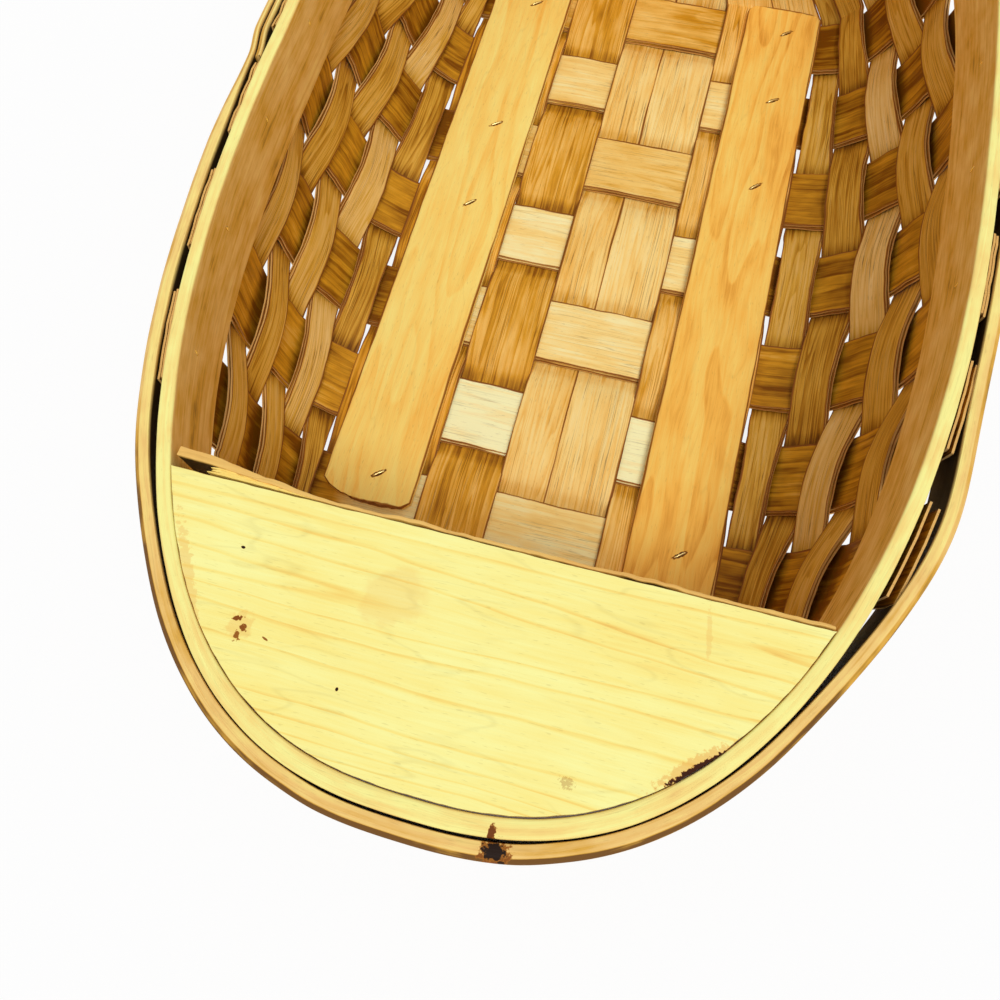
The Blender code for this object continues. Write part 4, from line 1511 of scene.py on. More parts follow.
@dataclass
class Ribs:
    """The seven doubled splints bent up from rim to rim."""

    shape: WovenShape
    press: SplintPress
    strands: Sequence[Strand]
    names: tuple[str, ...] = ("near", "second", "third", "middle", "fifth", "sixth", "far")
    top_drop: float = 0.0012
    wall_bow: float = 0.0009
    floor_bow: float = 0.0003
    bow_run: float = 0.008
    slip: float = 0.0008
    crossing_edge: float = 0.0018
    columns: int = 8
    step: float = 0.0017
    seed: int = 30
    ragged: Pair = (0.009, 0.0006)
    ragged_seed: int = 40
    ragged_drop: float = 0.0004
    ragged_shares: Pair = (1.0, 0.7)
    slat_edges: Pair = (-0.062, 0.052)
    tone_run: float = 0.012
    floor_tones: tuple[float, ...] = (0.26, 0.0, 0.26, 0.22, 0.45, 0.32, 0.6)
    shaded_wall_tones: tuple[float, ...] = (0.86, 0.81, 0.85, 0.83, 0.88, 0.89, 0.91)
    splay_run: float = 0.024
    splayed: dict[str, Pair] = field(
        default_factory=lambda: {"near": (0.0016, 0.0016), "second": (0.0006, 0.0005)}
    )

    def bow(self, places: Array, number: int) -> Array:
        """Return how far a rib gives way to the splints that cross it."""
        centres, pushes = [-1.0], [0.0]
        for strand in self.strands:
            inside = strand.above_near == (number % 2 == 0)
            reach = self.wall_bow if strand.on_wall else self.floor_bow
            centres.append((strand.low + strand.high) / 2)
            pushes.append(-reach if inside else reach)
        ends = (self.strands[0].low, self.strands[-1].high)
        plain = np.interp(places, centres + [1.0], pushes + [0.0])
        held = smooth_step((places - ends[0]) / self.bow_run)
        return plain * (held * smooth_step((ends[1] - places) / self.bow_run))

    def crossed(self, places: Array) -> Array:
        """Return 1 where a lengthwise splint crosses the ribs and 0 between them."""
        found = np.zeros_like(places)
        for strand in self.strands:
            inside = np.minimum(places - strand.low, strand.high - places)
            found = np.maximum(found, smooth_step(inside / self.crossing_edge + 1))
        return found

    def pieces(self, finish: Finish) -> list[Piece]:
        """Make every rib."""
        return [self.rib(number, name, finish) for number, name in enumerate(self.names)]

    def rib(self, number: int, name: str, finish: Finish) -> Piece:
        """Make one rib, both of its plies in one piece."""
        shape = self.shape
        upper = shape.hoop_height - self.top_drop
        low = shape.wall_edge(Side.LEFT) - upper
        high = shape.wall_edge(Side.RIGHT) + upper
        places = np.linspace(low, high, int((high - low) / self.step))
        shares = np.linspace(1, -1, self.columns + 1)
        ys = shape.rib_ys()[number] + shares * shape.rib_width / 2
        grid = shape.surface(ys[None, :], places[:, None], False)
        normals = grid_normals(grid)
        bow = self.bow(places, number)
        grid = grid + normals * bow[:, None, None]
        ragged = Wave(*self.ragged, self.ragged_seed + number).at(ys) - self.ragged_drop
        for row, share in zip((0, -1), self.ragged_shares):
            grid[row, :, 2] += ragged * share
        # Painted shade: a rib's tone darkens from its floor tone between the slats to its wall tone up
        # the walls, where less light falls
        from_slats = np.maximum(self.slat_edges[0] - places, places - self.slat_edges[1])
        up = smooth_step(from_slats / self.tone_run)
        tone = self.floor_tones[number] * (1 - up) + self.shaded_wall_tones[number] * up
        apart, out = self.splayed.get(name, (0.0, 0.0))
        near_top = smooth_step(1 - (high - places) / self.splay_run)
        grid = grid - normals * (out * near_top)[:, None, None]
        # Standing sets the painted shade where the rib tucks under a lengthwise splint
        standing = bow / np.where(up > 0.5, self.wall_bow, self.floor_bow) * self.crossed(places)
        seed = self.seed + number
        sheet = splint_sheet(grid, tone, seed, np.clip(standing, -1, 1), apart * near_top)
        piece = self.press.press(f"{name}_rib_splints", sheet, seed, finish, self.slip)
        nodes = (f"{name}_rib_outer_ply", f"{name}_rib_inner_ply")
        return finished(piece, nodes, finish)


@dataclass
class DeckEnd:
    """A D-shaped board in one end of the inner hoop, with the strip along its chord.

    Chips are stretches, from the strip's left end, where painted shade darkens its face
    towards the board. Slivers give start, stop, distance behind the board's edge and thickness.
    """

    rim: RimOutline
    shape: WovenShape
    end: End
    edge_y: float = 0.157
    thickness: float = 0.0035
    arris: float = 0.0002
    arc_points: int = 260
    chord_points: int = 150
    board_smooth: float = 30.0
    arris_share: float = 0.3
    off_arris_brink: float = 1.5
    board_inset: float = 0.0002
    board_tone: float = 0.28
    board_seed: float = 5.0
    side_shade: float = 0.45
    arc_wave: Wave = Wave(0.03, 0.0002, 21)
    chord_wave: Wave = Wave(0.05, 0.00025, 22)
    clamp_thickness: float = 0.0010
    clamp_left_thickness: float = 0.0026
    clamp_height: float = 0.013
    clamp_drop: float = 0.0006
    clamp_rise: float = 0.0003
    clamp_gap: float = 0.0003
    clamp_side_gap: float = 0.0006
    clamp_arris: float = 0.0003
    clamp_stations: int = 240
    clamp_smooth: float = 35.0
    clamp_row: float = 0.0016
    clamp_slope: float = 0.0003
    clamp_cut_depth: float = 0.0012
    clamp_cut: float = 0.8
    board_foot: float = 0.02
    open_share: float = 0.5
    clamp_tone: float = 0.4
    clamp_seed: float = 12.0
    spring: float = 0.0028
    spring_length: float = 0.045
    edge_wave: Wave = Wave(0.052, 0.0007, 31)
    thick_wave: Wave = Wave(0.031, 0.00025, 32)
    top_wave: Wave = Wave(0.019, 0.0005, 33)
    chip_run: float = 0.003
    chips: tuple[Pair, ...] = (
        (0.0317, 0.0405), (0.050, 0.056), (0.068, 0.090),
        (0.100, 0.106), (0.117, 0.131), (0.141, 0.148),
    )
    slivers_at: tuple[tuple[float, float, float, float], ...] = (
        (0.0090, 0.043, 0.0003, 0.0006),
        (0.0098, 0.030, 0.0011, 0.0006),
        (0.0094, 0.036, 0.0019, 0.0006),
    )
    sliver_side_gap: float = 0.0008
    sliver_stations: int = 40
    sliver_back: float = 0.0004
    sliver_taper: Pair = (9.0, 0.25)
    sliver_pinch: Pair = (0.0004, 0.2)
    sliver_drops: Pair = (0.0005, 0.0002)
    sliver_foot: float = 0.010
    sliver_tone: float = 0.2
    sliver_seed: float = 20.0
    sliver_wave: tuple[float, float, int] = (0.011, 0.0005, 50)

    def name(self, words: str) -> str:
        """Return a piece's name at this end."""
        return f"{self.end.name.lower()}_{words}"

    def outline(self) -> Array:
        """Return the board's outline, shaped (points, 2)."""
        sign = self.end.value
        right = self.rim.side_length(sign * self.edge_y, Side.RIGHT)
        left = self.rim.side_length(sign * self.edge_y, Side.LEFT)
        if self.end is End.NEAR:
            left -= self.rim.perimeter
        lengths = np.linspace(right, left, self.arc_points)
        points, normals = self.rim.at(lengths)
        inward = self.board_inset + np.abs(self.arc_wave.at(lengths))
        points = points - normals * inward[:, None]
        points[:, 1] = sign * np.maximum(sign * points[:, 1], self.edge_y)
        xs = np.linspace(points[-1, 0], points[0, 0], self.chord_points + 2)[1:-1]
        worn = self.edge_y + np.abs(self.chord_wave.at(xs))
        return np.concatenate((points, np.column_stack((xs, sign * worn))))

    def board(self, finish: Finish) -> Piece:
        """Make the board."""
        outline = self.outline()
        ahead = np.roll(outline, -1, axis=0) - np.roll(outline, 1, axis=0)
        inward = unit(np.column_stack((-ahead[:, 1], ahead[:, 0])))
        to_middle = outline.mean(axis=0) - outline
        inward *= np.sign((to_middle * inward).sum(axis=1).mean())
        top, foot = self.shape.rim_z, self.shape.rim_z - self.thickness
        third = self.arris * self.arris_share
        insets = (self.arris, third, 0.0, 0.0, third, self.arris)
        levels = (foot, foot + third, foot + self.arris, top - self.arris, top - third, top)
        rings = [
            np.column_stack((outline + inward * inset, np.full(len(outline), z)))
            for inset, z in zip(insets, levels)
        ]
        made = Draft.skin(np.stack(rings), np.zeros(len(levels)))
        made.lay_grain(0)
        rise = made.points[:, 2]
        # A dark brink line on the top arris only, and painted shade on the board's edge below it,
        # beside the gap to the hoop
        on_arris = np.abs(rise - top + third) < third / 2
        side = smooth_step((top - rise - third) / self.arris) * (rise > foot + third)
        made.keep(
            tone=self.board_tone, seed=self.board_seed + self.end.value,
            brink=BRINK_EDGE - self.off_arris_brink * ~on_arris, shade=self.side_shade * side,
        )
        piece = made.closed(self.name("end_board"), self.board_smooth)
        return finished(piece, (self.name("deck_board"),), finish)

    def straight(self, left: float, travelled: Array, section: Array) -> Draft:
        """Skin sections of (distance from the middle, drop) pairs that run along the chord."""
        xs = np.broadcast_to((left + travelled)[:, None], section.shape[:2])
        ys, zs = self.end.value * section[..., 0], self.shape.rim_z - section[..., 1]
        return Draft.skin(np.stack((xs, ys, zs), axis=-1), travelled)

    def clamp(self, finish: Finish) -> Piece:
        """Make the strip that runs along the chord and springs off its left."""
        outer_y = self.edge_y - self.clamp_gap
        left, right = (
            float(self.rim.side_x(self.end.value * outer_y, 0.0, side))
            - side.value * self.clamp_side_gap
            for side in Side
        )
        travelled = np.linspace(0, right - left, self.clamp_stations)
        sprung = 1 - smooth_step(travelled / self.spring_length)
        outer = outer_y - self.spring * sprung
        outer = outer - np.maximum(self.edge_wave.at(travelled), 0.0) * (1 - sprung)
        thick = between(self.clamp_thickness, self.clamp_left_thickness, sprung)
        inner = outer - (thick + self.thick_wave.at(travelled))
        top = self.clamp_drop - self.clamp_rise + np.abs(self.top_wave.at(travelled))
        foot = self.clamp_drop + self.clamp_height
        corners = corners_of(
            (inner, foot), (outer, foot), (outer, top + self.clamp_row), (outer, top),
            (inner, top + self.clamp_slope),
        )
        section = rounded(corners, self.clamp_arris, 2)
        # Painted shade on the strip's face towards the board, where the gap is open and along the chips
        gap_shaded = np.zeros_like(travelled)
        for start, stop in self.chips:
            begun = smooth_step((travelled - start) / self.chip_run)
            gap_shaded += begun * smooth_step((stop - travelled) / self.chip_run)
        open_rows = np.maximum(smooth_step(sprung / self.open_share), gap_shaded)[:, None]
        shade = hidden_shade(section, top, self.board_foot, outward=True, rows=open_rows)
        on_top = section[..., 1] < (top + self.clamp_cut_depth)[:, None]
        made = self.straight(left, travelled, section)
        made.keep(
            tone=self.clamp_tone, seed=self.clamp_seed, shade=shade,
            cut=self.clamp_cut * on_top.ravel(),
        )
        piece = made.closed(self.name("chord_strip"), self.clamp_smooth)
        return finished(piece, (self.name("clamp_strip"),), finish)

    def slivers(self, finish: Finish) -> Piece:
        """Make the thin splint ends that show between the strip and the board."""
        edge = float(self.rim.side_x(self.end.value * self.edge_y, 0.0, Side.LEFT))
        pitch, reach, seed = self.sliver_wave
        drafts = []
        for number, (start, stop, back, thick) in enumerate(self.slivers_at):
            travelled = np.linspace(start, stop, self.sliver_stations)
            room = self.spring * (1 - smooth_step(travelled / self.spring_length))
            share = (travelled - start) / (stop - start)
            steep, least = self.sliver_taper
            taper = np.minimum(1.0, np.minimum(share, 1 - share) * steep + least)
            outer = self.edge_y - self.sliver_back - np.minimum(room * back / self.spring, room)
            run, least = self.sliver_pinch
            inner = outer - thick * taper * np.minimum(1.0, room / run + least)
            first, step = self.sliver_drops
            top = first + number * step + np.abs(Wave(pitch, reach, seed + number).at(travelled))
            foot = self.sliver_foot
            corners = corners_of((inner, foot), (outer, foot), (outer, top), (inner, top))
            draft = self.straight(edge + self.sliver_side_gap, travelled, corners)
            draft.keep(tone=self.sliver_tone, seed=self.sliver_seed + number)
            drafts.append(draft)
        piece = joined(drafts).closed(self.name("splint_slivers"), self.clamp_smooth)
        return finished(piece, (), finish)


def joined(drafts: Sequence[Draft]) -> Draft:
    """Join drafts that face the same way into one."""
    faces, count = [], 0
    for draft in drafts:
        faces += [tuple(index + count for index in face) for face in draft.faces]
        count += len(draft.points)
    points = np.concatenate([draft.points for draft in drafts])
    grain = np.concatenate([draft.grain for draft in drafts])
    keys = drafts[0].values
    values = {key: np.concatenate([draft.values[key] for draft in drafts]) for key in keys}
    return Draft(points, faces, grain, values)


@dataclass
class FloorSlats:
    """The two smooth slats stapled to the floor.

    Plans give centre, width, half length and corner. Cuts give how far in a corner of the
    left slat is cut at distances from its end, first for its left and then for its right.
    """

    floor: float = 0.0058
    thickness: float = 0.0030
    arris: float = 0.0006
    crown: float = 0.00025
    smooth: float = 50.0
    plans: dict[Side, tuple[float, float, float, float]] = field(
        default_factory=lambda: {
            Side.LEFT: (-0.0595, 0.0345, 0.1315, 0.013),
            Side.RIGHT: (0.0525, 0.032, 0.1395, 0.004),
        }
    )
    cuts: tuple[tuple[tuple[float, ...], tuple[float, ...]], ...] = (
        ((0.0, 0.0012, 0.0034, 0.0060), (0.0140, 0.0080, 0.0030, 0.0)),
        ((0.0, 0.0010, 0.0035), (0.0075, 0.0025, 0.0)),
    )
    columns: tuple[float, ...] = (0.0, 0.02, *np.linspace(0.045, 0.955, 11), 0.98, 1.0)
    tip_rows: int = 26
    middle_rows: int = 150
    tip_brink: float = 0.0001
    figure_seed: float = 14.0
    seed: int = 60
    low_wave: Pair = (0.09, 0.0003)
    high_wave: Pair = (0.12, 0.0003)
    chip_wave: Pair = (0.011, 0.0008)
    chip_run: float = 0.004
    left_trim: float = 0.0016
    tones: dict[Side, float] = field(default_factory=lambda: {Side.LEFT: 0.3, Side.RIGHT: 0.52})

    def slat(self, side: Side, finish: Finish) -> Piece:
        """Make one slat.

        Args:
            side: Which side of the floor it lies on.
            finish: Its material.

        Returns:
            The slat.
        """
        centre, width, half, corner = self.plans[side]
        straight = half - corner
        tip = straight + np.sin(np.linspace(0, math.pi / 2, self.tip_rows)) * corner
        middle = np.linspace(-straight, straight, self.middle_rows)[1:-1]
        ys = np.concatenate((-tip[::-1], middle, tip))
        past = np.maximum(np.abs(ys) - straight, 0.0)
        cuts = [corner - np.sqrt(np.maximum(corner**2 - past**2, 0.0))] * 2
        if side is Side.LEFT:
            cuts = [np.interp(half - np.abs(ys), *profile) for profile in self.cuts]
        seed = self.seed + side.value
        low = cuts[0] - width / 2 + np.abs(Wave(*self.low_wave, seed).at(ys))
        high = width / 2 - cuts[1] - np.abs(Wave(*self.high_wave, seed + 5).at(ys))
        across = np.array(self.columns)
        spans = low[:, None] + (high - low)[:, None] * across
        bulge = self.crown * (1 - (2 * across - 1) ** 2)
        edge = np.minimum(across, 1 - across) * (high - low)[:, None]
        fall = self.arris * (1 - np.sqrt(1 - (1 - np.clip(edge / self.arris, 0, 1)) ** 2))
        top = self.floor + self.thickness - self.crown + bulge - fall
        xs = np.concatenate((spans, spans[:, ::-1]), axis=1)
        zs = np.concatenate((top, np.full_like(top, self.floor)), axis=1)
        near_tip = smooth_step((np.abs(ys) - half + self.chip_run) / self.chip_run)[:, None]
        chips = np.abs(Wave(*self.chip_wave, seed + 9).at(xs)) * near_tip
        trim = np.where(ys < 0, self.left_trim, 0.0) * (side is Side.LEFT) * np.abs(ys) / half
        yy = (ys + trim)[:, None] - np.sign(ys)[:, None] * chips
        made = Draft.skin(np.stack((xs + centre, yy, zs), axis=-1), ys)
        made.lay_grain(1)
        inset = np.concatenate((edge, np.full_like(edge, 1.0)), axis=1)
        inset = np.minimum(inset, (half - np.abs(ys))[:, None] + self.tip_brink)
        brink = (BRINK_EDGE - MILLIMETRES * inset).ravel()
        figure = self.figure_seed + 2 * side.value
        made.keep(tone=self.tones[side], seed=figure, brink=brink)
        name = side.name.lower()
        piece = made.closed(f"{name}_smooth_slat", self.smooth)
        return finished(piece, (f"{name}_floor_slat",), finish)


@dataclass
class FastenerSetter(NodeTool):
    """Sets one fastener on every point of a layout."""

    smooth: float = 50.0

    def build(self) -> None:
        """Draw the tree."""
        draw = self.start("fastener setter", "Fasteners", Places="Geometry", Fastener="Object")
        source = draw.node("NodeGroupInput").outputs
        shape = draw.node("GeometryNodeObjectInfo", transform_space="ORIGINAL")
        draw.join(source["Fastener"], shape.inputs["Object"])
        turn = draw.node("FunctionNodeEulerToRotation")
        draw.join(draw.kept("aim", "FLOAT_VECTOR"), turn.inputs[0])
        placed = draw.node("GeometryNodeInstanceOnPoints")
        body = shape.outputs["Geometry"]
        draw.feed(placed, Points=source["Places"], Instance=body, Rotation=turn.outputs[0])
        self.hand_over(draw, placed.outputs[0], source["Finish"])

    def set(
        self,
        name: str,
        places: Sequence[tuple[Vector, Vector]],
        template: Piece,
        finish: Finish,
    ) -> Piece:
        """Set a template at places, each with its turn, and return a plain mesh.

        Args:
            name: Name of the piece.
            places: Middle and turn of each fastener.
            template: The fastener's shape round its own middle, which is used up.
            finish: Its material.

        Returns:
            All the fasteners in one piece.
        """
        mesh = bpy.data.meshes.new(name)
        mesh.from_pydata([tuple(place) for place, _ in places], [], [])
        aims = mesh.attributes.new("aim", "FLOAT_VECTOR", "POINT")
        aims.data.foreach_set("vector", [value for _, turn in places for value in turn])
        done = self.use(linked(name, mesh), self.smooth, fastener=template, finish=finish)
        bpy.data.objects.remove(template, do_unlink=True)
        return done


@dataclass
class SlatStaples:
    """Wire staples in the floor slats, at shares of each slat's half length."""

    slats: FloorSlats
    setter: FastenerSetter
    crown: float = 0.0052
    wire: float = 0.0007
    leg: float = 0.0026
    bend: float = 0.0005
    bulge: float = 0.0002
    lift: float = 0.00005
    tilt: float = 40.0
    shift_x: float = 0.0025
    # Size and look of the painted shade that stands for the slot of each staple
    slot_shade_reach: Triple = (0.0034, 0.0009, 0.004)
    slot_shade_look: tuple = (SOOT_AND_SHADE, 0.8, 0.5, 0.0008)
    smooth: float = 60.0
    shares: dict[Side, tuple[float, ...]] = field(
        default_factory=lambda: {
            Side.LEFT: (-0.90, 0.04, 0.36, 0.90),
            Side.RIGHT: (-0.87, 0.29, 0.62, 0.90),
        }
    )

    def layout(self) -> list[tuple[Vector, Vector, str]]:
        """Return middle, turn and node of each staple."""
        top = self.slats.floor + self.slats.thickness + self.lift
        found = []
        for side, shares in self.shares.items():
            centre, _, half, _ = self.slats.plans[side]
            for number, share in enumerate(shares, start=1):
                # A fixed and uneven turn for each
                turn = math.radians(self.tilt + (number * 37 % 11) - 5)
                middle = Vector((centre + self.shift_x + SEAT_X, half * share, top))
                node = f"{side.name.lower()}_slat_staple_{number}"
                found.append((middle, Vector((0, 0, turn)), node))
        return found

    def slots(self) -> tuple[StainAndShadeSpot, ...]:
        """Return painted shade for the slot that each staple has pressed into its slat."""
        return tuple(
            StainAndShadeSpot(tuple(middle), self.slot_shade_reach, math.degrees(turn.z), *self.slot_shade_look)
            for middle, turn, _ in self.layout()
        )

    def template(self) -> Piece:
        """Make one staple round the middle of its crown."""
        half, bend = (self.crown - self.wire) / 2, self.bend
        turn = np.linspace(0, math.pi / 2, 5)
        corner = np.column_stack((half - bend + bend * np.sin(turn), bend * np.cos(turn) - bend))
        crown = np.column_stack((np.linspace(0, half - bend, 6)[:-1], np.zeros(5)))
        leg = np.array(((half, -self.leg),))
        side = np.concatenate((crown, corner, leg))
        path = np.concatenate((side[::-1] * (-1, 1), side[1:]))
        path[:, 1] += self.bulge * (1 - (path[:, 0] / half) ** 2)
        ahead = unit(np.gradient(path, axis=0))
        sideways = np.column_stack((-ahead[:, 1], ahead[:, 0]))
        angles = np.linspace(0, 2 * math.pi, 8, endpoint=False)
        radius = self.wire / 2
        flat = path[:, None, :] + sideways[:, None, :] * (np.cos(angles) * radius)[None, :, None]
        wide = np.broadcast_to((np.sin(angles) * radius)[None, :], flat.shape[:2])
        rings = np.stack((flat[..., 0], wide, flat[..., 1]), axis=-1)
        made = Draft.skin(rings, np.arange(len(path)) * self.wire)
        return made.closed("staple", self.smooth, 0.0)

    def piece(self, finish: Finish) -> Piece:
        """Set every staple."""
        found = self.layout()
        places = [(middle, turn) for middle, turn, _ in found]
        made = self.setter.set("slat_staples", places, self.template(), finish)
        return finished(made, [node for _, _, node in found], finish)


@dataclass
class RimPins:
    """Square pins through the hoops: heads outside, clenched points inside.

    A profile gives rise and width of each ring of a head or point, as shares of the whole.
    """

    rim: RimOutline
    shape: WovenShape
    outer: OuterHoop
    ribs: Ribs
    setter: FastenerSetter
    drop: float = 0.010
    head: Triple = (0.0005, 0.0026, 0.0026)
    head_ease: float = 0.0004
    point: Triple = (0.00018, 0.0007, 0.0024)
    point_ease: float = 0.00025
    point_tilt: float = 0.12
    profile: tuple[Pair, ...] = ((-0.6, 0.85), (0.0, 1.0), (0.55, 1.0), (0.85, 0.92), (1.0, 0.7))
    smooth: float = 30.0
    unpinned: tuple[str, ...] = ("near", "second")

    def lines(self) -> list[tuple[str, Vector, Vector, float]]:
        """Return node, tip, underside of the head and heading of each pin."""
        found = []
        share = (self.shape.rim_height - self.drop) / self.shape.rim_height
        for side in Side:
            for number, name in enumerate(self.ribs.names):
                if side is Side.RIGHT and name in self.unpinned:
                    continue
                y = float(self.shape.rib_ys()[number])
                length = self.rim.side_length(y - side.value * self.shape.lean * share, side)
                points, normals = self.rim.at(np.array([length]))
                start = self.outer.start()
                travelled = (start - length) % self.rim.perimeter
                if travelled < self.outer.lap_length:
                    travelled += self.rim.perimeter
                _, _, near, thick = self.outer.layer(np.array([travelled]))
                x, y = points[0]
                tip = Vector((x + SEAT_X, y, self.shape.rim_z - self.drop))
                out = Vector((*normals[0], 0))
                face = tip + out * float(near[0] + thick[0])
                node = f"rim_pin_{side.name.lower()}_{name}"
                found.append((node, tip, face, math.atan2(out.y, out.x)))
        return found

    def plate(self, name: str, size: Triple, ease: float) -> Piece:
        """Make a small plate with eased edges, standing out along X from its back."""
        out, wide, tall = size
        base = np.array([[(-wide, -tall), (wide, -tall), (wide, tall), (-wide, tall)]]) / 2
        rings = []
        for rise, share in self.profile:
            section = rounded(base * share, ease, 2)[0]
            rings.append(np.column_stack((np.full(len(section), out * rise), section)))
        made = Draft.skin(np.stack(rings), np.arange(len(rings)) * out)
        return made.closed(name, self.smooth, 0.0)

    def heads(self, finish: Finish) -> Piece:
        """Set the heads outside."""
        lines = self.lines()
        places = [(face, Vector((0, 0, turn))) for _, _, face, turn in lines]
        template = self.plate("head", self.head, self.head_ease)
        made = self.setter.set("rim_pin_heads", places, template, finish)
        return finished(made, [node for node, *_ in lines], finish)

    def points(self, finish: Finish) -> Piece:
        """Set the clenched points inside, each tilted a little to one side or the other."""
        places = [
            (tip, Vector((self.point_tilt * (index % 3 - 1), 0, turn + math.pi)))
            for index, (_, tip, _, turn) in enumerate(self.lines())
        ]
        template = self.plate("point", self.point, self.point_ease)
        made = self.setter.set("rim_pin_points", places, template, finish)
        return finished(made, (), finish)


@dataclass
class Studio:
    """Pale floor, soft light and the camera.

    Right, down, ahead and eye are the camera's axes and place. The focal share is its focal
    length as a share of the sensor's width.
    """

    right: Triple = (0.9655, 0.2591, -0.0311)
    down: Triple = (0.2349, -0.9147, -0.3290)
    ahead: Triple = (-0.1137, 0.3103, -0.9440)
    eye: Triple = (0.0226, -0.2089, 0.28745)
    focal_share: float = 0.82
    sensor_width: float = 36.0
    clip: Pair = (0.01, 50.0)
    floor_reach: float = 4.0
    floor_z: float = -0.0002
    floor_grey: float = 0.9
    floor_glow: float = 0.88
    floor_roughness: float = 0.9
    sky: float = 0.55
    key: float = 1.45
    key_degrees: float = 25.0
    key_from: Triple = (0.25, -0.35, 1.0)

    def camera(self) -> None:
        """Set the camera at the photograph's place."""
        lens = bpy.data.cameras.new("camera")
        lens.sensor_width = self.sensor_width
        lens.lens = self.focal_share * lens.sensor_width
        lens.clip_start, lens.clip_end = self.clip
        axes = Matrix((self.right, -Vector(self.down), -Vector(self.ahead)))
        made = linked("camera", lens)
        made.matrix_world = Matrix.Translation(self.eye) @ axes.transposed().to_4x4()
        bpy.context.scene.camera = made

    def floor(self) -> None:
        """Lay the pale floor, which the camera sees as white."""
        mesh = bpy.data.meshes.new("studio_floor")
        reach, grey = self.floor_reach, self.floor_grey
        corners = ((-reach, -reach), (reach, -reach), (reach, reach), (-reach, reach))
        mesh.from_pydata([(x, y, self.floor_z) for x, y in corners], [], [(0, 1, 2, 3)])
        finish, draw, matte = Sketch.of_material("studio_floor")
        draw.feed(matte, Base_Color=(grey, grey, grey, 1.0), Roughness=self.floor_roughness)
        path = draw.node("ShaderNodeLightPath").outputs
        seen = draw.sum("MAXIMUM", path["Is Camera Ray"], path["Is Glossy Ray"])
        seen = draw.sum("MAXIMUM", seen, path["Is Transmission Ray"])
        share = draw.sum("MULTIPLY", seen, self.floor_glow)
        glow = draw.node("ShaderNodeEmission")
        mixed = draw.node("ShaderNodeMixShader")
        draw.filled(mixed, (share, matte.outputs[0], glow.outputs[0]))
        draw.join(mixed.outputs[0], draw.tree.nodes["Material Output"].inputs["Surface"])
        mesh.materials.append(finish)
        linked("studio_floor", mesh)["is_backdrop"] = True

    def light(self) -> None:
        """Light the object softly from above, and keep the background white."""
        world = bpy.data.worlds.new("studio")
        bpy.context.scene.world = world
        world.use_nodes = True
        draw = Sketch(world.node_tree)
        path = draw.node("ShaderNodeLightPath").outputs
        seen = draw.sum("MAXIMUM", path["Is Camera Ray"], path["Is Glossy Ray"])
        lift = draw.sum("MULTIPLY_ADD", seen, 1.0 - self.sky, self.sky)
        back = world.node_tree.nodes["Background"]
        draw.feed(back, Color=(1.0, 1.0, 1.0, 1.0), Strength=lift)
        lamp = bpy.data.lights.new("key", "SUN")
        lamp.energy = self.key
        lamp.angle = math.radians(self.key_degrees)
        turn = Vector(self.key_from).to_track_quat("Z", "Y")
        linked("key", lamp).matrix_world = turn.to_matrix().to_4x4()

    def build(self) -> None:
        """Set camera, floor and light."""
        bpy.context.scene.view_settings.view_transform = "Standard"
        self.camera()
        self.floor()
        self.light()


def stops(*rows: tuple[float, float, float, float]) -> tuple[tuple[float, Colour], ...]:
    """Return the stops of a ramp from rows of place, red, green and blue."""
    return tuple((place, paint(*colour)) for place, *colour in rows)


DECK_STAINS = stains_at(
    0.09375,
    0.0018,
    (-0.0529, -0.1915, 0.0034, 0.0036, 0, AMBER, 0.35, 0.9, 0.002),
    (-0.0200, -0.1760, 0.0110, 0.0070, 20, AMBER, 0.22, 0.9, 0.009),
    (-0.0255, -0.1998, 0.0004, 0.0005, 0, SOOT_AND_SHADE, 1.0, 0.3),
    (0.0310, -0.2060, 0.0016, 0.0014, 0, RUST, 0.26, 1.6, 0.0005),
    (-0.0541, -0.1899, 0.0014, 0.0006, 20, RUST, 0.75, 1.2, 0.0009),
    (-0.0520, -0.1919, 0.0010, 0.0009, -25, RUST, 0.7, 1.2, 0.0009),
    (-0.0530, -0.1941, 0.0008, 0.0012, 10, RUST, 0.6, 1.2, 0.0009),
    (-0.0592, -0.1730, 0.0006, 0.0004, 0, SOOT_AND_SHADE, 1.0, 0.3),
    (-0.0460, -0.1930, 0.0009, 0.0003, -20, UMBER, 0.6, 0.7),
    (0.0555, -0.1650, 0.0007, 0.0060, 8, AMBER, 0.3, 1.4, 0.0016),
    (0.0580, -0.1946, 0.0110, 0.0016, 41, AMBER, 0.6, 1.2, 0.0014),
    (0.0586, -0.1953, 0.0090, 0.0008, 41, GRIME, 1.0, 1.2, 0.0008),
    (-0.0700, -0.1830, 0.0016, 0.0160, 29, AMBER, 0.4, 1.2, 0.0014),
)
HOOP_STAINS = stains_at(
    0.0937,
    0.01,
    (0.0192, -0.2242, 0.0036, 0.0030, 0, SCORCH, 0.75, 1.1, 0.0014),
    (0.0176, -0.2203, 0.0009, 0.0017, -12, SCORCH, 0.9, 1.1, 0.0011),
    (0.0190, -0.2240, 0.0030, 0.0020, 8, SOOT_AND_SHADE, 0.97, 1.0, 0.0012),
    (0.0211, -0.2258, 0.0010, 0.0005, 0, SOOT_AND_SHADE, 0.9, 0.6, 0.0008),
)
HOOP_WOOD = WoodFinish(
    "bent hoop wood",
    stops=stops(
        (0.0, 253, 244, 152), (0.25, 251, 222, 132), (0.5, 242, 198, 118),
        (0.75, 222, 168, 64), (1.0, 118, 80, 36),
    ),
    ring_size=(300.0, 7.0), rings=8.0, ring_depth=0.1, line_depth=0.12, pore_depth=0.1,
    blotch_size=(17.0, 8.0), blotch_depth=0.42, streak_depth=0.2, stains=HOOP_STAINS,
)
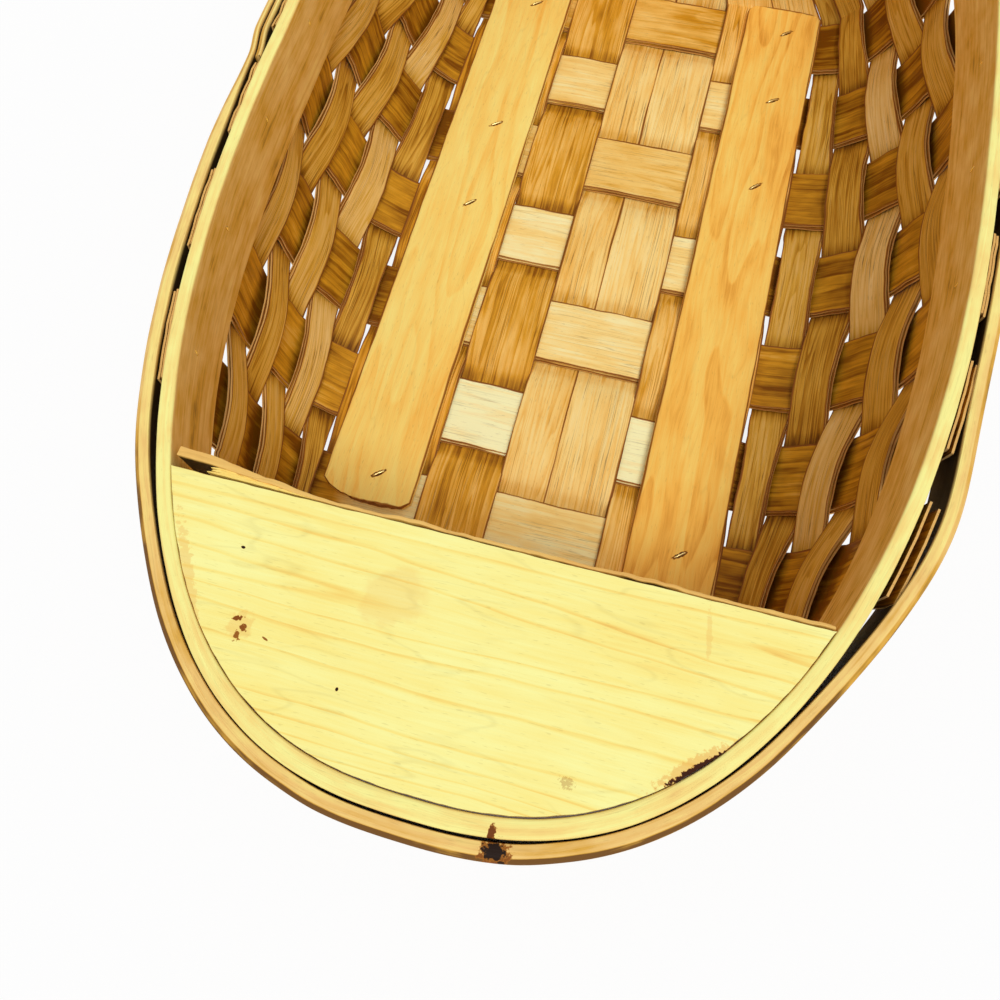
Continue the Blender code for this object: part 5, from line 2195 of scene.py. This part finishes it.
DECK_WOOD = WoodFinish(
    "deck board wood",
    stops=stops(
        (0.0, 255, 250, 164), (0.35, 255, 238, 140), (0.65, 252, 216, 114), (1.0, 220, 158, 74)
    ),
    ring_size=(520.0, 19.0), rings=11.0, ring_depth=0.34, ring_sharpness=0.76,
    fibre_depth=0.14, line_size=(34.0, 6.0), line_depth=0.08, pore_depth=0.12,
    blotch_depth=0.36, streak_depth=0.26, brink_depth=0.7, warp=3.0, stains=DECK_STAINS,
)
SLAT_WOOD = WoodFinish(
    "slat wood",
    stops=stops(
        (0.0, 255, 236, 138), (0.35, 255, 216, 112), (0.6, 252, 192, 84),
        (0.8, 228, 158, 58), (1.0, 168, 104, 36),
    ),
    ring_size=(150.0, 20.0), rings=7.0, ring_depth=0.18, ring_sharpness=0.3,
    fibre_depth=0.14, line_size=(34.0, 5.0), line_depth=0.06, pore_depth=0.15,
    blotch_depth=0.36, streak_depth=0.22, brink_depth=0.6, warp=5.0,
)
RIB_WOOD = WoodFinish(
    "rib wood",
    stops=stops(
        (0.0, 255, 252, 196), (0.3, 254, 222, 140), (0.55, 242, 194, 98),
        (0.75, 214, 152, 32), (1.0, 126, 72, 0),
    ),
    ring_size=(260.0, 13.0), rings=9.0, ring_depth=0.1, fibre_depth=0.1,
    line_size=(60.0, 1.6), line_depth=0.3, blotch_size=(26.0, 12.0), blotch_depth=0.3,
    streak_depth=0.16, tuck_depth=0.18,
)
STRIP_WOOD = WoodFinish(
    "floor strip wood",
    stops=stops(
        (0.0, 255, 240, 176), (0.35, 254, 218, 134), (0.55, 246, 194, 100),
        (0.75, 222, 158, 40), (1.0, 146, 88, 10),
    ),
    ring_size=(190.0, 7.0), rings=12.0, fibre_depth=0.13, line_size=(80.0, 0.9),
    line_depth=0.6, blotch_size=(30.0, 10.0), blotch_depth=0.28, streak_depth=0.18,
    tuck_depth=0.16,
)
WEAVER_WOOD = WoodFinish(
    "weaver wood",
    stops=stops(
        (0.0, 252, 226, 168), (0.3, 238, 196, 116), (0.6, 217, 165, 60),
        (0.8, 179, 123, 26), (1.0, 116, 68, 6),
    ),
    ring_size=(200.0, 7.0), rings=16.0, ring_depth=0.18, fibre_depth=0.13,
    line_size=(60.0, 0.75), line_depth=0.7, blotch_depth=0.22, streak_depth=0.24,
)


def basket() -> None:
    """Build every sub-assembly of the basket."""
    rim = RimOutline()
    shape = WovenShape(rim)
    slats = FloorSlats()
    setter = FastenerSetter()
    staples = SlatStaples(slats, setter)
    looks = {
        Slot.HOOP: HOOP_WOOD,
        Slot.DECK: DECK_WOOD,
        # The slats' spots are painted shade for the staples' slots
        Slot.SLAT: replace(SLAT_WOOD, stains=staples.slots()),
        Slot.RIB: RIB_WOOD,
        Slot.STRIP: STRIP_WOOD,
        Slot.WEAVER: WEAVER_WOOD,
        Slot.STEEL: WireFinish("plated wire"),
    }
    woods = {slot: look.material() for slot, look in looks.items()}
    inner = InnerHoop(rim, shape)
    inner.piece(woods[Slot.HOOP])
    outer = OuterHoop(rim, shape, inner)
    outer.piece(woods[Slot.HOOP])
    weaver_press = SplintPress(thickness=0.00062, apart=0.00014, cockle=0.0003, edge_wave=0.0012)
    strip_press = replace(weaver_press, cockle=0.0002, edge_wave=0.0004)
    lengthwise = LengthwiseSplints(shape, weaver_press, strip_press)
    lengthwise.pieces(woods)
    rib_press = SplintPress(thickness=0.0006, apart=0.0002, cockle=0.0003, edge_wave=0.0012)
    ribs = Ribs(shape, rib_press, lengthwise.layout())
    ribs.pieces(woods[Slot.RIB])
    for end in End:
        deck = DeckEnd(rim, shape, end)
        deck.board(woods[Slot.DECK])
        deck.clamp(woods[Slot.SLAT])
        deck.slivers(woods[Slot.SLAT])
    for side in Side:
        slats.slat(side, woods[Slot.SLAT])
    staples.piece(woods[Slot.STEEL])
    pins = RimPins(rim, shape, outer, ribs, setter)
    pins.heads(woods[Slot.STEEL])
    pins.points(woods[Slot.STEEL])


def main() -> None:
    """Load the solids, build the looks and note both sizes."""
    logging.basicConfig(level=logging.INFO, format="%(name)s: %(message)s")
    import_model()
    solid_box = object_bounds()
    basket()
    Studio().build()
    boxes = {"cad": plain(solid_box), "visual": plain(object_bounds())}
    LOG.info("sizes: %s", boxes)


def plain(box: Iterable[Iterable[float]]) -> list[list[float]]:
    """Return the two corners of a box as plain lists."""
    return [[float(value) for value in corner] for corner in box]


if __name__ == "__main__":
    main()
